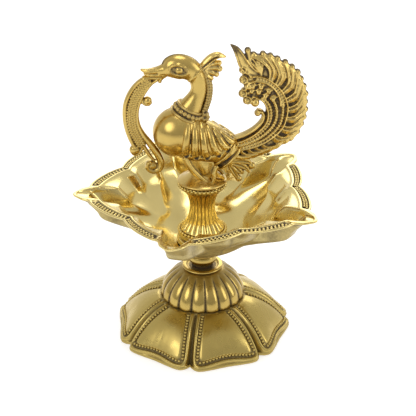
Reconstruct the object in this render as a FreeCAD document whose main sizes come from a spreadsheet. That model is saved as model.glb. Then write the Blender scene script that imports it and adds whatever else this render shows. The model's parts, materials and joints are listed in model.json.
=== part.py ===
import FreeCAD, Part
import math
import os
import Sketcher
from FreeCAD import Placement, Rotation, Vector

# Brass standing oil lamp (samai): petalled foot, ribbed dome, turned stem, five-spout bowl,
# reeded pillar and a bird finial.  Millimetres, +Z up, origin on the lamp's axis at the foot plane.
# One spout, one petal and the bird's head point to -X; the tail points to +X.

os.makedirs("parts", exist_ok=True)
doc = FreeCAD.newDocument("Samai")

# Driving dimensions first, then the sizes worked out from them.
SIZES = [
    # threads and running fits
    ("stud_radius", "3.0"), ("running_gap", "0.05"), ("bore_radius", "=stud_radius + running_gap"),
    ("washer_thick", "0.8"), ("gasket_thick", "0.6"),
    # petalled skirt
    ("petal_count", "7"), ("skirt_top_z", "22.5"), ("skirt_top_radius", "24.8"),
    ("skirt_seat_radius", "21.8"), ("lip_height", "2.4"), ("skirt_middle_radius", "49.4"),
    ("skirt_corner_radius", "52.2"), ("skirt_groove_radius", "48.2"), ("skirt_wall", "3.4"),
    # ribbed dome
    ("rib_count", "18"), ("rib_start_angle", "10"), ("dome_arc_radius", "17.0"), ("dome_arc_x", "8.5"), ("dome_arc_z", "24.2"),
    ("dome_wall", "2.6"), ("rib_groove", "0.9"),
    ("dome_foot_radius", "=dome_arc_x + dome_arc_radius"),
    ("dome_top_z", "40.6"), ("dome_top_radius", "12.6"), ("dome_roof_z", "=dome_top_z - 3"),
    ("dome_inner_radius", "=dome_foot_radius - dome_wall"),
    ("dome_shoulder_radius", "16.0"), ("dome_shoulder_z", "34.0"), ("dome_roof_radius", "10.0"),
    # collar on the dome, with a recess for the stem washer
    ("collar_radius", "12.4"), ("collar_neck_radius", "11.6"), ("collar_lip_z", "41.5"),
    ("collar_top_z", "42.6"), ("recess_radius", "9.8"), ("recess_z", "41.6"),
    # nut and washer under the dome roof
    ("nut_height", "5.0"), ("nut_corner_radius", "5.8"), ("base_washer_radius", "8.0"),
    ("base_washer_z", "=dome_roof_z - washer_thick"), ("nut_foot_z", "=base_washer_z - nut_height"),
    # stem spool
    ("stem_washer_radius", "6.2"), ("spool_foot_z", "=recess_z + washer_thick"),
    ("spool_neck_radius", "6.2"), ("spool_neck_z", "43.6"), ("drum_radius", "8.9"),
    ("drum_foot_z", "44.4"), ("drum_top_z", "49.2"), ("drum_arc_radius", "6.0"),
    ("spool_groove_radius", "8.2"), ("spool_groove_z", "49.8"), ("spool_ring_radius", "9.7"),
    ("spool_ring_foot_z", "50.2"), ("spool_ring_top_z", "51.4"), ("spool_waist_z", "51.9"),
    ("spool_cup_radius", "12.4"), ("spool_cup_z", "54.2"), ("spool_top_z", "55.0"),
    # bowl
    ("spout_count", "5"), ("rim_z", "91.5"), ("spout_reach", "75.0"), ("shoulder_radius", "66.0"),
    ("lobe_radius", "62.5"), ("notch_radius", "56.9"), ("rim_band", "6.0"), ("bowl_wall", "2.2"),
    ("spout_flank_angle", "4.0"), ("spout_side_angle", "7.5"),
    ("lower_gasket_radius", "10.5"), ("upper_gasket_radius", "13.5"),
    ("bowl_seat_z", "=spool_top_z + gasket_thick"), ("bowl_floor_z", "58.0"),
    ("bowl_seat_radius", "16.0"),
    # reeded pillar
    ("reed_count", "20"), ("pillar_foot_z", "=bowl_floor_z + gasket_thick"),
    ("pillar_foot_radius", "15.0"), ("foot_drum_z", "61.2"), ("undercut_radius", "13.2"),
    ("undercut_z", "62.0"), ("foot_lip_radius", "14.4"), ("foot_lip_z", "63.0"),
    ("foot_lip_top_z", "65.0"), ("waist_end_radius", "12.9"), ("waist_foot_z", "66.6"),
    ("waist_radius", "7.4"), ("waist_top_z", "94.4"),
    ("waist_z", "=(waist_foot_z + waist_top_z) / 2"),
    ("waist_drop", "=waist_end_radius - waist_radius"),
    ("waist_arc_radius", "=((waist_top_z - waist_z) ^ 2 + waist_drop ^ 2) / (2 * waist_drop)"),
    ("waist_arc_x", "=waist_radius + waist_arc_radius"), ("reed_groove", "0.6"),
    ("bead_ring_radius", "13.6"), ("bead_radius", "0.9"), ("lower_beads_z", "66.2"),
    ("upper_beads_z", "=pillar_top_z - bead_radius"), ("pillar_top_z", "96.4"),
    ("pillar_top_radius", "13.0"),
    # stem stud: through the nut, the dome, the spool and the bowl into the pillar
    ("stud_end", "0.8"), ("stem_stud_foot_z", "=nut_foot_z - 1"), ("stem_stud_top_z", "68.0"),
    ("lower_bore_z", "=stem_stud_top_z + 1"),
    ("stem_stud_bevel_z", "=stem_stud_top_z - stud_end"),
    ("stem_stud_start_z", "=stem_stud_foot_z + stud_end"), ("stud_tip_radius", "=stud_radius - stud_end"),
    # bird washer, plinth and stud
    ("bird_washer_radius", "9.0"), ("plinth_foot_z", "=pillar_top_z + gasket_thick"),
    ("plinth_radius", "14.3"), ("plinth_edge_z", "98.0"), ("plinth_arc_radius", "8.0"),
    ("trunk_radius", "7.0"), ("trunk_foot_z", "105.0"), ("trunk_top_z", "116.0"),
    ("bird_stud_foot_z", "89.0"), ("bird_stud_top_z", "108.0"), ("upper_bore_z", "=bird_stud_foot_z - 1"),
    ("bird_stud_start_z", "=bird_stud_foot_z + stud_end"),
    ("bird_stud_bevel_z", "=bird_stud_top_z - stud_end"),
    # bird
    ("wing_thick", "1.7"), ("band_thick", "2.2"), ("tail_thick", "7.0"), ("tail_spine_thick", "10.0"),
    ("scroll_thick", "5.4"), ("plume_thick", "6.0"), ("crest_thick", "5.0"), ("leg_thick", "4.6"),
]


def build_sheet():
    """The spreadsheet that every size is bound to."""
    table = doc.addObject("Spreadsheet::Sheet", "Sizes")
    for row, (alias, content) in enumerate(SIZES, start=1):
        table.set("A%d" % row, alias)
        table.set("B%d" % row, content)
        table.setAlias("B%d" % row, alias)
    doc.recompute()
    return table


sheet = build_sheet()


def size(alias):
    """A plain number read from the sheet."""
    return float(getattr(sheet, alias))


# ---------------------------------------------------------------- PartDesign helpers
def new_body(label):
    body = doc.addObject("PartDesign::Body", label)
    body.Label = label
    body.Placement = Placement()
    return body


def new_sketch(body, name, role="XZ_Plane"):
    """An empty sketch on one of the body's own origin planes."""
    plane = [feature for feature in body.Origin.OriginFeatures if feature.Role == role][0]
    sketch = body.newObject("Sketcher::SketchObject", name)
    sketch.AttachmentSupport = (plane, [""])
    sketch.MapMode = "FlatFace"
    return sketch


def bind(sketch, constraint, alias):
    """Adds one dimension to a sketch and ties it to the sheet."""
    index = sketch.addConstraint(constraint)
    sketch.setExpression("Constraints[%d]" % index, "Sizes.%s" % alias)


def draw_outline(sketch, corners):
    """A closed outline.  A corner is (radius, height) in sheet names; a third and fourth entry make
    the edge after it an arc of that sheet radius, +1 for anticlockwise and -1 for clockwise."""
    points = [Vector(size(corner[0]), size(corner[1]), 0) for corner in corners]
    count = len(corners)
    starts = []
    ends = []
    for i, corner in enumerate(corners):
        first, last = points[i], points[(i + 1) % count]
        if len(corner) == 2:
            edge = sketch.addGeometry(Part.LineSegment(first, last))
            starts.append((edge, 1))
            ends.append((edge, 2))
            continue
        radius, turn = size(corner[2]), corner[3]
        chord = last - first
        rise = math.sqrt(radius ** 2 - chord.Length ** 2 / 4)
        left = Vector(-chord.y, chord.x, 0).normalize()
        centre = (first + last) * 0.5 + left * rise * turn
        begin, finish = (first, last) if turn > 0 else (last, first)
        angle_a = math.atan2(begin.y - centre.y, begin.x - centre.x)
        angle_b = math.atan2(finish.y - centre.y, finish.x - centre.x)
        circle = Part.Circle(centre, Vector(0, 0, 1), radius)
        edge = sketch.addGeometry(Part.ArcOfCircle(circle, angle_a, angle_b))
        starts.append((edge, 1 if turn > 0 else 2))
        ends.append((edge, 2 if turn > 0 else 1))
        bind(sketch, Sketcher.Constraint("Radius", edge, radius), corner[2])
    for i in range(count):
        sketch.addConstraint(Sketcher.Constraint("Coincident", *ends[i], *starts[(i + 1) % count]))
    for corner, start, point in zip(corners, starts, points):
        bind(sketch, Sketcher.Constraint("DistanceX", -1, 1, *start, point.x), corner[0])
        bind(sketch, Sketcher.Constraint("DistanceY", -1, 1, *start, point.y), corner[1])


def turned(label, corners):
    """A turned piece: one closed outline revolved about the lamp's axis."""
    body = new_body(label)
    sketch = new_sketch(body, label + "_outline")
    draw_outline(sketch, corners)
    turn = body.newObject("PartDesign::Revolution", label + "_turn")
    turn.Profile = sketch
    turn.ReferenceAxis = (sketch, ["V_Axis"])
    turn.Angle = 360
    sketch.Visibility = False
    doc.recompute()
    return body


def ring(label, inner, outer, foot, top):
    """A flat ring such as a washer or a gasket."""
    return turned(label, [(inner, foot), (outer, foot), (outer, top), (inner, top)])


def add_bead_ring(body, name, height):
    """A half-round roll standing out of a turned piece."""
    sketch = new_sketch(body, name + "_circle")
    centre = Vector(size("bead_ring_radius"), size(height), 0)
    edge = sketch.addGeometry(Part.Circle(centre, Vector(0, 0, 1), size("bead_radius")))
    bind(sketch, Sketcher.Constraint("DistanceX", -1, 1, edge, 3, centre.x), "bead_ring_radius")
    bind(sketch, Sketcher.Constraint("DistanceY", -1, 1, edge, 3, centre.y), height)
    bind(sketch, Sketcher.Constraint("Radius", edge, size("bead_radius")), "bead_radius")
    roll = body.newObject("PartDesign::Revolution", name)
    roll.Profile = sketch
    roll.ReferenceAxis = (sketch, ["V_Axis"])
    roll.Angle = 360
    doc.recompute()


def add_curved_grooves(body, name, groove, surface_x, centre_x, centre_z, sweep, count, start_angle=0.0):
    """Grooves that follow an arc of the outline, repeated round the axis from the start angle."""
    sketch = new_sketch(body, name + "_circle", "XY_Plane")
    around = Rotation(Vector(0, 0, 1), start_angle)
    sketch.AttachmentOffset = Placement(Vector(0, 0, size(centre_z)), around)
    sketch.setExpression(".AttachmentOffset.Base.z", "Sizes.%s" % centre_z)
    start = Vector(size(surface_x), 0, 0)
    edge = sketch.addGeometry(Part.Circle(start, Vector(0, 0, 1), size(groove)))
    sketch.addConstraint(Sketcher.Constraint("PointOnObject", edge, 3, -1))
    bind(sketch, Sketcher.Constraint("DistanceX", -1, 1, edge, 3, start.x), surface_x)
    bind(sketch, Sketcher.Constraint("Radius", edge, size(groove)), groove)
    reach = size(groove)
    axis = sketch.addGeometry(
        Part.LineSegment(Vector(size(centre_x), -reach, 0), Vector(size(centre_x), reach, 0)), True
    )
    sketch.addConstraint(Sketcher.Constraint("Vertical", axis))
    bind(sketch, Sketcher.Constraint("DistanceX", -1, 1, axis, 1, size(centre_x)), centre_x)
    cut = body.newObject("PartDesign::Groove", name)
    cut.Profile = sketch
    cut.ReferenceAxis = (sketch, ["Axis0"])
    cut.Midplane = True
    cut.Angle = sweep
    doc.recompute()
    pattern = body.newObject("PartDesign::PolarPattern", name + "_pattern")
    pattern.Originals = [cut]
    pattern.Axis = (sketch, ["N_Axis"])
    pattern.Angle = 360
    pattern.Occurrences = int(size(count))
    pattern.setExpression("Occurrences", "Sizes.%s" % count)
    body.Tip = pattern
    doc.recompute()


# ---------------------------------------------------------------- turned pieces
def build_dome():
    body = turned("ribbed_dome", [
        ("skirt_seat_radius", "skirt_top_z"), ("dome_foot_radius", "skirt_top_z"),
        ("dome_foot_radius", "dome_arc_z", "dome_arc_radius", 1), ("dome_top_radius", "dome_top_z"),
        ("bore_radius", "dome_top_z"), ("bore_radius", "dome_roof_z"),
        ("dome_roof_radius", "dome_roof_z"), ("dome_shoulder_radius", "dome_shoulder_z"),
        ("skirt_seat_radius", "dome_arc_z"),
    ])
    add_curved_grooves(body, "rib_grooves", "rib_groove", "dome_foot_radius", "dome_arc_x",
                       "dome_arc_z", 160, "rib_count", size("rib_start_angle"))
    return body


def build_collar():
    return turned("dome_collar", [
        ("bore_radius", "dome_top_z"), ("collar_neck_radius", "dome_top_z"),
        ("collar_radius", "collar_lip_z"), ("collar_radius", "collar_top_z"),
        ("recess_radius", "collar_top_z"), ("recess_radius", "recess_z"), ("bore_radius", "recess_z"),
    ])


def build_nut():
    """Hexagonal nut: six equal sides on a circle, with the thread's bore."""
    body = new_body("base_nut")
    sketch = new_sketch(body, "base_nut_hexagon", "XY_Plane")
    sketch.AttachmentOffset = Placement(Vector(0, 0, size("nut_foot_z")), Rotation())
    sketch.setExpression(".AttachmentOffset.Base.z", "Sizes.nut_foot_z")
    radius = size("nut_corner_radius")
    corners = [
        Vector(radius * math.cos(math.radians(60 * i)), radius * math.sin(math.radians(60 * i)), 0)
        for i in range(6)
    ]
    for i in range(6):
        sketch.addGeometry(Part.LineSegment(corners[i], corners[(i + 1) % 6]))
    origin = Vector(0, 0, 0)
    guide = sketch.addGeometry(Part.Circle(origin, Vector(0, 0, 1), radius), True)
    bore = sketch.addGeometry(Part.Circle(origin, Vector(0, 0, 1), size("bore_radius")))
    for circle in (guide, bore):
        sketch.addConstraint(Sketcher.Constraint("Coincident", circle, 3, -1, 1))
    for i in range(6):
        sketch.addConstraint(Sketcher.Constraint("Coincident", i, 2, (i + 1) % 6, 1))
        sketch.addConstraint(Sketcher.Constraint("PointOnObject", i, 1, guide))
    for i in range(1, 6):
        sketch.addConstraint(Sketcher.Constraint("Equal", 0, i))
    sketch.addConstraint(Sketcher.Constraint("PointOnObject", 0, 1, -1))
    bind(sketch, Sketcher.Constraint("Radius", guide, radius), "nut_corner_radius")
    bind(sketch, Sketcher.Constraint("Radius", bore, size("bore_radius")), "bore_radius")
    pad = body.newObject("PartDesign::Pad", "base_nut_pad")
    pad.Profile = sketch
    pad.Length = size("nut_height")
    pad.setExpression("Length", "Sizes.nut_height")
    doc.recompute()
    return body


def build_spool():
    return turned("stem_spool", [
        ("stud_radius", "spool_foot_z"), ("spool_neck_radius", "spool_foot_z"),
        ("spool_neck_radius", "spool_neck_z"), ("drum_radius", "drum_foot_z", "drum_arc_radius", 1),
        ("drum_radius", "drum_top_z"), ("spool_groove_radius", "spool_groove_z"),
        ("spool_ring_radius", "spool_ring_foot_z"), ("spool_ring_radius", "spool_ring_top_z"),
        ("spool_groove_radius", "spool_waist_z"), ("spool_cup_radius", "spool_cup_z"),
        ("spool_cup_radius", "spool_top_z"), ("stud_radius", "spool_top_z"),
    ])


def build_stud(label, foot_z, start_z, bevel_z, top_z):
    """A threaded rod at its nominal diameter; the ends are bevelled."""
    body = new_body(label)
    sketch = new_sketch(body, label + "_outline")
    corners = [("stud_tip_radius", foot_z), ("stud_radius", start_z), ("stud_radius", bevel_z),
               ("stud_tip_radius", top_z)]
    points = [Vector(size(radius), size(height), 0) for radius, height in corners]
    outline = [Vector(0, points[0].y, 0)] + points + [Vector(0, points[-1].y, 0)]
    count = len(outline)
    for i in range(count):
        sketch.addGeometry(Part.LineSegment(outline[i], outline[(i + 1) % count]))
    for i in range(count):
        sketch.addConstraint(Sketcher.Constraint("Coincident", i, 2, (i + 1) % count, 1))
    for end in (0, count - 1):
        sketch.addConstraint(Sketcher.Constraint("PointOnObject", end, 1, -2))
    for i, (radius, height) in enumerate(corners, start=1):
        bind(sketch, Sketcher.Constraint("DistanceX", -1, 1, i, 1, outline[i].x), radius)
        bind(sketch, Sketcher.Constraint("DistanceY", -1, 1, i, 1, outline[i].y), height)
    for edge in (0, count - 2):
        sketch.addConstraint(Sketcher.Constraint("Horizontal", edge))
    turn = body.newObject("PartDesign::Revolution", label + "_turn")
    turn.Profile = sketch
    turn.ReferenceAxis = (sketch, ["V_Axis"])
    turn.Angle = 360
    doc.recompute()
    return body


def build_pillar():
    body = turned("pillar", [
        ("bore_radius", "pillar_foot_z"), ("pillar_foot_radius", "pillar_foot_z"),
        ("pillar_foot_radius", "foot_drum_z"), ("undercut_radius", "undercut_z"),
        ("foot_lip_radius", "foot_lip_z"), ("foot_lip_radius", "foot_lip_top_z"),
        ("waist_end_radius", "waist_foot_z", "waist_arc_radius", -1), ("waist_end_radius", "waist_top_z"),
        ("pillar_top_radius", "pillar_top_z"), ("bore_radius", "pillar_top_z"),
    ])
    add_curved_grooves(body, "reed_grooves", "reed_groove", "waist_radius", "waist_arc_x",
                       "waist_z", 84, "reed_count")
    add_bead_ring(body, "lower_bead_ring", "lower_beads_z")
    add_bead_ring(body, "upper_bead_ring", "upper_beads_z")
    plug = new_sketch(body, "bore_plug_outline")
    corners = [Vector(0, size("lower_bore_z"), 0), Vector(size("bore_radius"), size("lower_bore_z"), 0),
               Vector(size("bore_radius"), size("upper_bore_z"), 0), Vector(0, size("upper_bore_z"), 0)]
    for i in range(4):
        plug.addGeometry(Part.LineSegment(corners[i], corners[(i + 1) % 4]))
    for i in range(4):
        plug.addConstraint(Sketcher.Constraint("Coincident", i, 2, (i + 1) % 4, 1))
    plug.addConstraint(Sketcher.Constraint("Horizontal", 0))
    plug.addConstraint(Sketcher.Constraint("Horizontal", 2))
    plug.addConstraint(Sketcher.Constraint("Vertical", 1))
    plug.addConstraint(Sketcher.Constraint("Vertical", 3))
    plug.addConstraint(Sketcher.Constraint("PointOnObject", 0, 1, -2))
    bind(plug, Sketcher.Constraint("DistanceX", -1, 1, 1, 1, size("bore_radius")), "bore_radius")
    bind(plug, Sketcher.Constraint("DistanceY", -1, 1, 1, 1, size("lower_bore_z")), "lower_bore_z")
    bind(plug, Sketcher.Constraint("DistanceY", -1, 1, 2, 1, size("upper_bore_z")), "upper_bore_z")
    fill = body.newObject("PartDesign::Revolution", "bore_plug")
    fill.Profile = plug
    fill.ReferenceAxis = (plug, ["V_Axis"])
    fill.Angle = 360
    doc.recompute()
    return body


def build_plinth():
    return turned("bird_plinth", [
        ("stud_radius", "plinth_foot_z"), ("plinth_radius", "plinth_foot_z"),
        ("plinth_radius", "plinth_edge_z", "plinth_arc_radius", -1), ("trunk_radius", "trunk_foot_z"),
        ("trunk_radius", "trunk_top_z"), ("stud_radius", "trunk_top_z"),
    ])


# ---------------------------------------------------------------- lobed castings
def add_casting(label, shape):
    """A cast piece whose shape is worked out in code."""
    solid = max(shape.Solids, key=lambda item: item.Volume)
    piece = doc.addObject("Part::Feature", label)
    piece.Label = label
    piece.Shape = solid
    piece.Placement = Placement()
    return piece


def between(table, where):
    """Straight-line reading of a small (position, value) table."""
    for (x0, y0), (x1, y1) in zip(table, table[1:]):
        if where <= x1:
            return y0 + (y1 - y0) * (where - x0) / (x1 - x0)
    return table[-1][1]


def lobed_wire(height, breaks, radius_at, samples):
    """A closed level wire of smooth edges that meet in corners at the break angles (degrees)."""
    edges = []
    for first, last in zip(breaks, breaks[1:]):
        points = []
        for step in range(samples + 1):
            angle = first + (last - first) * step / samples
            radius = radius_at(angle)
            turn = math.radians(angle)
            points.append(Vector(radius * math.cos(turn), radius * math.sin(turn), height))
        curve = Part.BSplineCurve()
        curve.interpolate(points)
        edges.append(curve.toShape())
    return Part.Wire(edges)


def petal_offset(angle):
    """How far the foot's outline stands out at this angle; petals are centred on -X."""
    pitch = 360.0 / size("petal_count")
    across = abs(((angle - 180.0) / pitch + 0.5) % 1.0 - 0.5) * 2
    corner = size("skirt_corner_radius") - size("skirt_middle_radius")
    groove = size("skirt_groove_radius") - size("skirt_middle_radius")
    return between([(0, 0), (0.35, 0.3 * corner), (0.75, corner), (0.9, 0.6 * corner), (1, groove)], across)


def build_skirt():
    """Seven-petal skirt: a lofted shell with a thick lip at the foot and a seat for the dome."""
    pitch = 360.0 / size("petal_count")
    breaks = [180.0 - pitch / 2 + pitch * i for i in range(int(size("petal_count")) + 1)]
    middle = size("skirt_middle_radius")
    slope = (middle - size("skirt_top_radius")) / (size("skirt_top_z") - size("lip_height"))
    levels = [(0, middle - 0.4, 1.0), (size("lip_height"), middle, 1.0)]
    for height, bulge, lobe in [(7, 1.6, 0.8), (12, 2.2, 0.6), (17, 1.6, 0.35)]:
        levels.append((height, middle - slope * (height - size("lip_height")) + bulge, lobe))
    levels.append((size("skirt_top_z"), size("skirt_top_radius"), 0.0))
    wires = []
    for height, radius, lobe in levels:
        wires.append(lobed_wire(height, breaks, lambda a: radius + lobe * petal_offset(a), 12))
    outside = Part.makeLoft(wires, True, False)
    wall = size("skirt_wall")
    hollow = [Vector(0, 0, 0)]
    hollow += [Vector(radius - wall, 0, height) for height, radius, lobe in levels[:-1] if height != size("lip_height")]
    hollow += [Vector(size("skirt_seat_radius"), 0, size("skirt_top_z")), Vector(0, 0, size("skirt_top_z"))]
    inside = Part.Face(Part.makePolygon(hollow + [hollow[0]])).revolve(Vector(0, 0, 0), Vector(0, 0, 1), 360)
    return add_casting("petal_skirt", outside.cut(inside))


def spout_radius(angle, wall):
    """Outline of the bowl at this angle, moved in by the wall; spouts are centred on -X."""
    pitch = 360.0 / size("spout_count")
    away = abs(((angle - 180.0) / pitch + 0.5) % 1.0 - 0.5) * pitch
    reach, shoulder = size("spout_reach"), size("shoulder_radius")
    lobe, notch = size("lobe_radius"), size("notch_radius")
    flank, side = size("spout_flank_angle"), size("spout_side_angle")
    table = [(0, reach), (flank, 0.45 * reach + 0.55 * shoulder), (side, shoulder),
             (2 * side, 0.5 * (shoulder + lobe) + 0.3), (3 * side, lobe),
             (4 * side, 0.45 * lobe + 0.55 * notch), (pitch / 2, notch)]
    inset = [(0, 0.5 * wall), (flank, 0.9 * wall), (side, wall)]
    return between(table, away) - between(inset, away)


def bowl_blank(levels):
    """Stack of rim outlines (height, lobe radius, depth of the lobes, wall) from the bottom up."""
    pitch = 360.0 / size("spout_count")
    side = size("spout_side_angle")
    breaks = [180.0 - side]
    for i in range(int(size("spout_count"))):
        centre = 180.0 + pitch * i
        breaks += [centre, centre + side, centre + pitch / 2, centre + pitch - side]
    wires = []
    for height, radius, lobe, wall in levels:
        scale = lobe * radius / size("lobe_radius")

        def radius_at(angle):
            return radius - (1 - scale) * wall + scale * (spout_radius(angle, wall) - size("lobe_radius"))

        wires.append(lobed_wire(height, breaks, radius_at, 6))
    return Part.makeLoft(wires, True, False)


def build_bowl():
    """Five-spout bowl with a flat rim band, seated on the spool and bored for the stud."""
    rim, full, seat = size("rim_z"), size("lobe_radius"), size("bowl_seat_radius")
    band, wall, floor = size("rim_band"), size("bowl_wall"), size("bowl_floor_z")
    sides = [(59.5, 29.0, 0.25), (65.0, 38.5, 0.4), (70.0, 43.5, 0.6), (76.0, 50.0, 0.8), (84.0, 56.0, 0.8)]
    outer_levels = [(size("bowl_seat_z"), seat, 0.0, 0.0)]
    outer_levels += [(height, radius, lobe, 0.0) for height, radius, lobe in sides]
    outer_levels += [(rim, full, 1.0, 0.0)]
    inner_levels = [(floor, seat + wall, 0.0, 0.0)]
    inner_levels += [(height + 0.6 * wall, radius, lobe, wall + 0.8) for height, radius, lobe in sides]
    inner_levels += [(rim, full, 1.0, band)]
    shell = bowl_blank(outer_levels).cut(bowl_blank(inner_levels))
    bore = Part.makeCylinder(size("bore_radius"), floor, Vector(0, 0, 1))
    return add_casting("bowl", shell.cut(bore))


# ---------------------------------------------------------------- bird
def oval_wire(x, z, lean, half_width, half_depth):
    """Oval section in the bird's mid plane; lean is the direction of travel, degrees up from +X."""
    turn = math.radians(lean)
    points = []
    for step in range(16):
        angle = 2 * math.pi * step / 16
        across = half_width * math.cos(angle)
        points.append(Vector(x - across * math.sin(turn), half_depth * math.sin(angle), z + across * math.cos(turn)))
    curve = Part.BSplineCurve()
    curve.interpolate(points, PeriodicFlag=True)
    return Part.Wire([curve.toShape()])


def torso(extra):
    """Round breast running back to the flat rear end, grown by extra all round."""
    breast_radius, breast_centre, side_squash = 14.5, Vector(-13.5, 0, 128), 0.93
    stretch = FreeCAD.Matrix()
    stretch.scale(1, side_squash, 1)
    breast = Part.makeSphere(breast_radius + extra).transformGeometry(stretch)
    breast.translate(breast_centre)
    sections = [(15.5, 112.7, 135, 8.5, 7.0), (11.0, 116.5, 140, 10.0, 9.0), (4.5, 120.0, 150, 11.8, 11.0),
                (-3.0, 123.0, 155, 13.0, 12.4), (-9.0, 126.0, 160, 13.6, 12.9)]
    wires = [oval_wire(x, z, lean, wide + extra, deep + extra) for x, z, lean, wide, deep in sections]
    return breast.fuse(Part.makeLoft(wires, True, False))


def neck_and_head():
    sections = [(-8.6, 138.5, 62, 8.4, 8.4), (-7.4, 141.5, 62, 7.3, 7.3), (-4.5, 146.5, 65, 5.6, 5.6),
                (-2.0, 152.0, 78, 4.7, 4.8), (-1.8, 157.0, 95, 4.8, 4.8), (-3.4, 161.5, 120, 5.4, 5.0),
                (-7.5, 165.4, 150, 6.3, 5.6), (-13.0, 166.8, 178, 6.8, 5.8), (-18.0, 166.4, 188, 5.4, 5.0),
                (-22.0, 165.0, 190, 2.9, 3.4), (-25.5, 163.9, 186, 1.8, 3.0), (-29.5, 163.6, 175, 1.4, 2.8),
                (-33.0, 164.6, 160, 0.8, 1.6)]
    return Part.makeLoft([oval_wire(*section) for section in sections], True, False)


def slab(outline, thick, centre_y=0.0):
    """A plate cut to a smooth (x, z) outline and centred on centre_y; runs of points meet in corners."""
    edges = []
    for run in outline:
        points = [Vector(x, centre_y - thick / 2, z) for x, z in run]
        if len(points) == 2:
            edges.append(Part.makeLine(points[0], points[1]))
            continue
        curve = Part.BSplineCurve()
        curve.interpolate(points)
        edges.append(curve.toShape())
    return Part.Face(Part.Wire(edges)).extrude(Vector(0, thick, 0))


def rod(path, radius):
    """A round rod along an (x, z) path: straight lengths with mitred corners."""
    points = [Vector(x, 0, z) for x, z in path]
    profile = Part.Wire([Part.makeCircle(radius, points[0], points[1] - points[0])])
    mitred = 1
    return Part.makePolygon(points).makePipeShell([profile], True, True, mitred)


def ball(x, z, radius):
    return Part.makeSphere(radius, Vector(x, 0, z))


def fused(shapes):
    whole = shapes[0]
    for shape in shapes[1:]:
        whole = whole.fuse(shape)
    return whole


def less(shape, neighbours):
    """The shape with its neighbours cut away, so that the castings meet face to face."""
    for neighbour in neighbours:
        shape = shape.cut(neighbour)
    return shape


def wing_blank(side):
    """One wing's share of the skin round the torso; side is -1 or +1 along Y."""
    outline = [
        [(-4.5, 140.0), (22.0, 140.0)], [(22.0, 140.0), (20.0, 121.5)],
        [(20.0, 121.5), (15.0, 117.0), (9.0, 114.8), (2.0, 114.0), (-5.0, 115.0), (-10.0, 118.0)],
        [(-10.0, 118.0), (-10.5, 124.0), (-8.0, 131.0), (-4.5, 140.0)],
    ]
    reach = 30.0
    return slab(outline, reach, side * reach / 2)


def leg_blank(side):
    """V-shaped hanging plate on one side of the trunk."""
    outline = [[(-8.5, 113.5), (-3.5, 106.0), (4.5, 98.0)], [(4.5, 98.0), (6.5, 104.0), (8.0, 112.0)],
               [(8.0, 112.0), (-8.5, 113.5)]]
    thick = size("leg_thick")
    return slab(outline, thick, side * (thick / 2 + 4.0))


def tail_blank():
    plate = slab([
        [(15.4, 180.2), (24.5, 177.5), (33.5, 174.0), (42.5, 170.0), (51.0, 163.8), (57.6, 153.5),
         (59.8, 142.0), (57.8, 131.0), (52.2, 121.8), (41.0, 115.8), (29.5, 111.6), (18.0, 110.0)],
        [(18.0, 110.0), (14.0, 113.0)], [(14.0, 113.0), (13.0, 121.5)],
        [(13.0, 121.5), (19.5, 124.0), (26.5, 127.8), (31.4, 133.5), (31.0, 138.5), (26.5, 143.0),
         (22.0, 149.0), (20.8, 157.0), (19.8, 166.0), (15.4, 180.2)],
    ], size("tail_thick"))
    spine = slab([
        [(14.0, 121.0), (20.5, 121.7), (27.5, 125.2), (33.8, 130.6), (36.0, 137.0), (35.0, 144.0), (31.0, 148.0)],
        [(31.0, 148.0), (26.0, 154.5)],
        [(26.0, 154.5), (35.0, 156.5), (41.0, 151.5), (47.0, 143.5), (46.5, 133.0), (42.0, 126.0), (32.0, 120.0),
         (21.7, 117.4), (15.0, 115.0)],
        [(15.0, 115.0), (14.0, 121.0)],
    ], size("tail_spine_thick"))
    return plate.fuse(spine)


def scroll_blank():
    """Crescent that hangs from the bill, its stem down the breast and the volute at its end."""
    crescent = slab([
        [(-31.5, 162.5), (-36.0, 158.5), (-40.0, 153.8), (-42.8, 147.5), (-43.8, 140.0), (-43.2, 131.0),
         (-40.6, 122.5), (-36.0, 117.5)],
        [(-36.0, 117.5), (-30.5, 122.0)],
        [(-30.5, 122.0), (-34.0, 127.0), (-35.8, 133.5), (-35.9, 139.5), (-34.0, 147.0), (-31.0, 154.0),
         (-27.0, 158.6), (-23.5, 159.6)],
        [(-23.5, 159.6), (-23.0, 162.5)], [(-23.0, 162.5), (-31.5, 162.5)],
    ], size("scroll_thick"))
    stem = rod([(-33.5, 121.0), (-30.0, 116.0), (-26.2, 110.5), (-24.2, 106.5), (-26.2, 103.9),
                (-29.6, 104.4), (-30.6, 107.2)], 1.8)
    return fused([crescent, stem, ball(-30.4, 147.4, 2.5), rod([(-33.5, 150.5), (-32.3, 148.6), (-30.4, 147.4)], 1.2),
                  ball(-38.0, 117.6, 2.7), ball(-28.6, 107.8, 2.4), ball(-24.4, 158.2, 1.3)])


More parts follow.
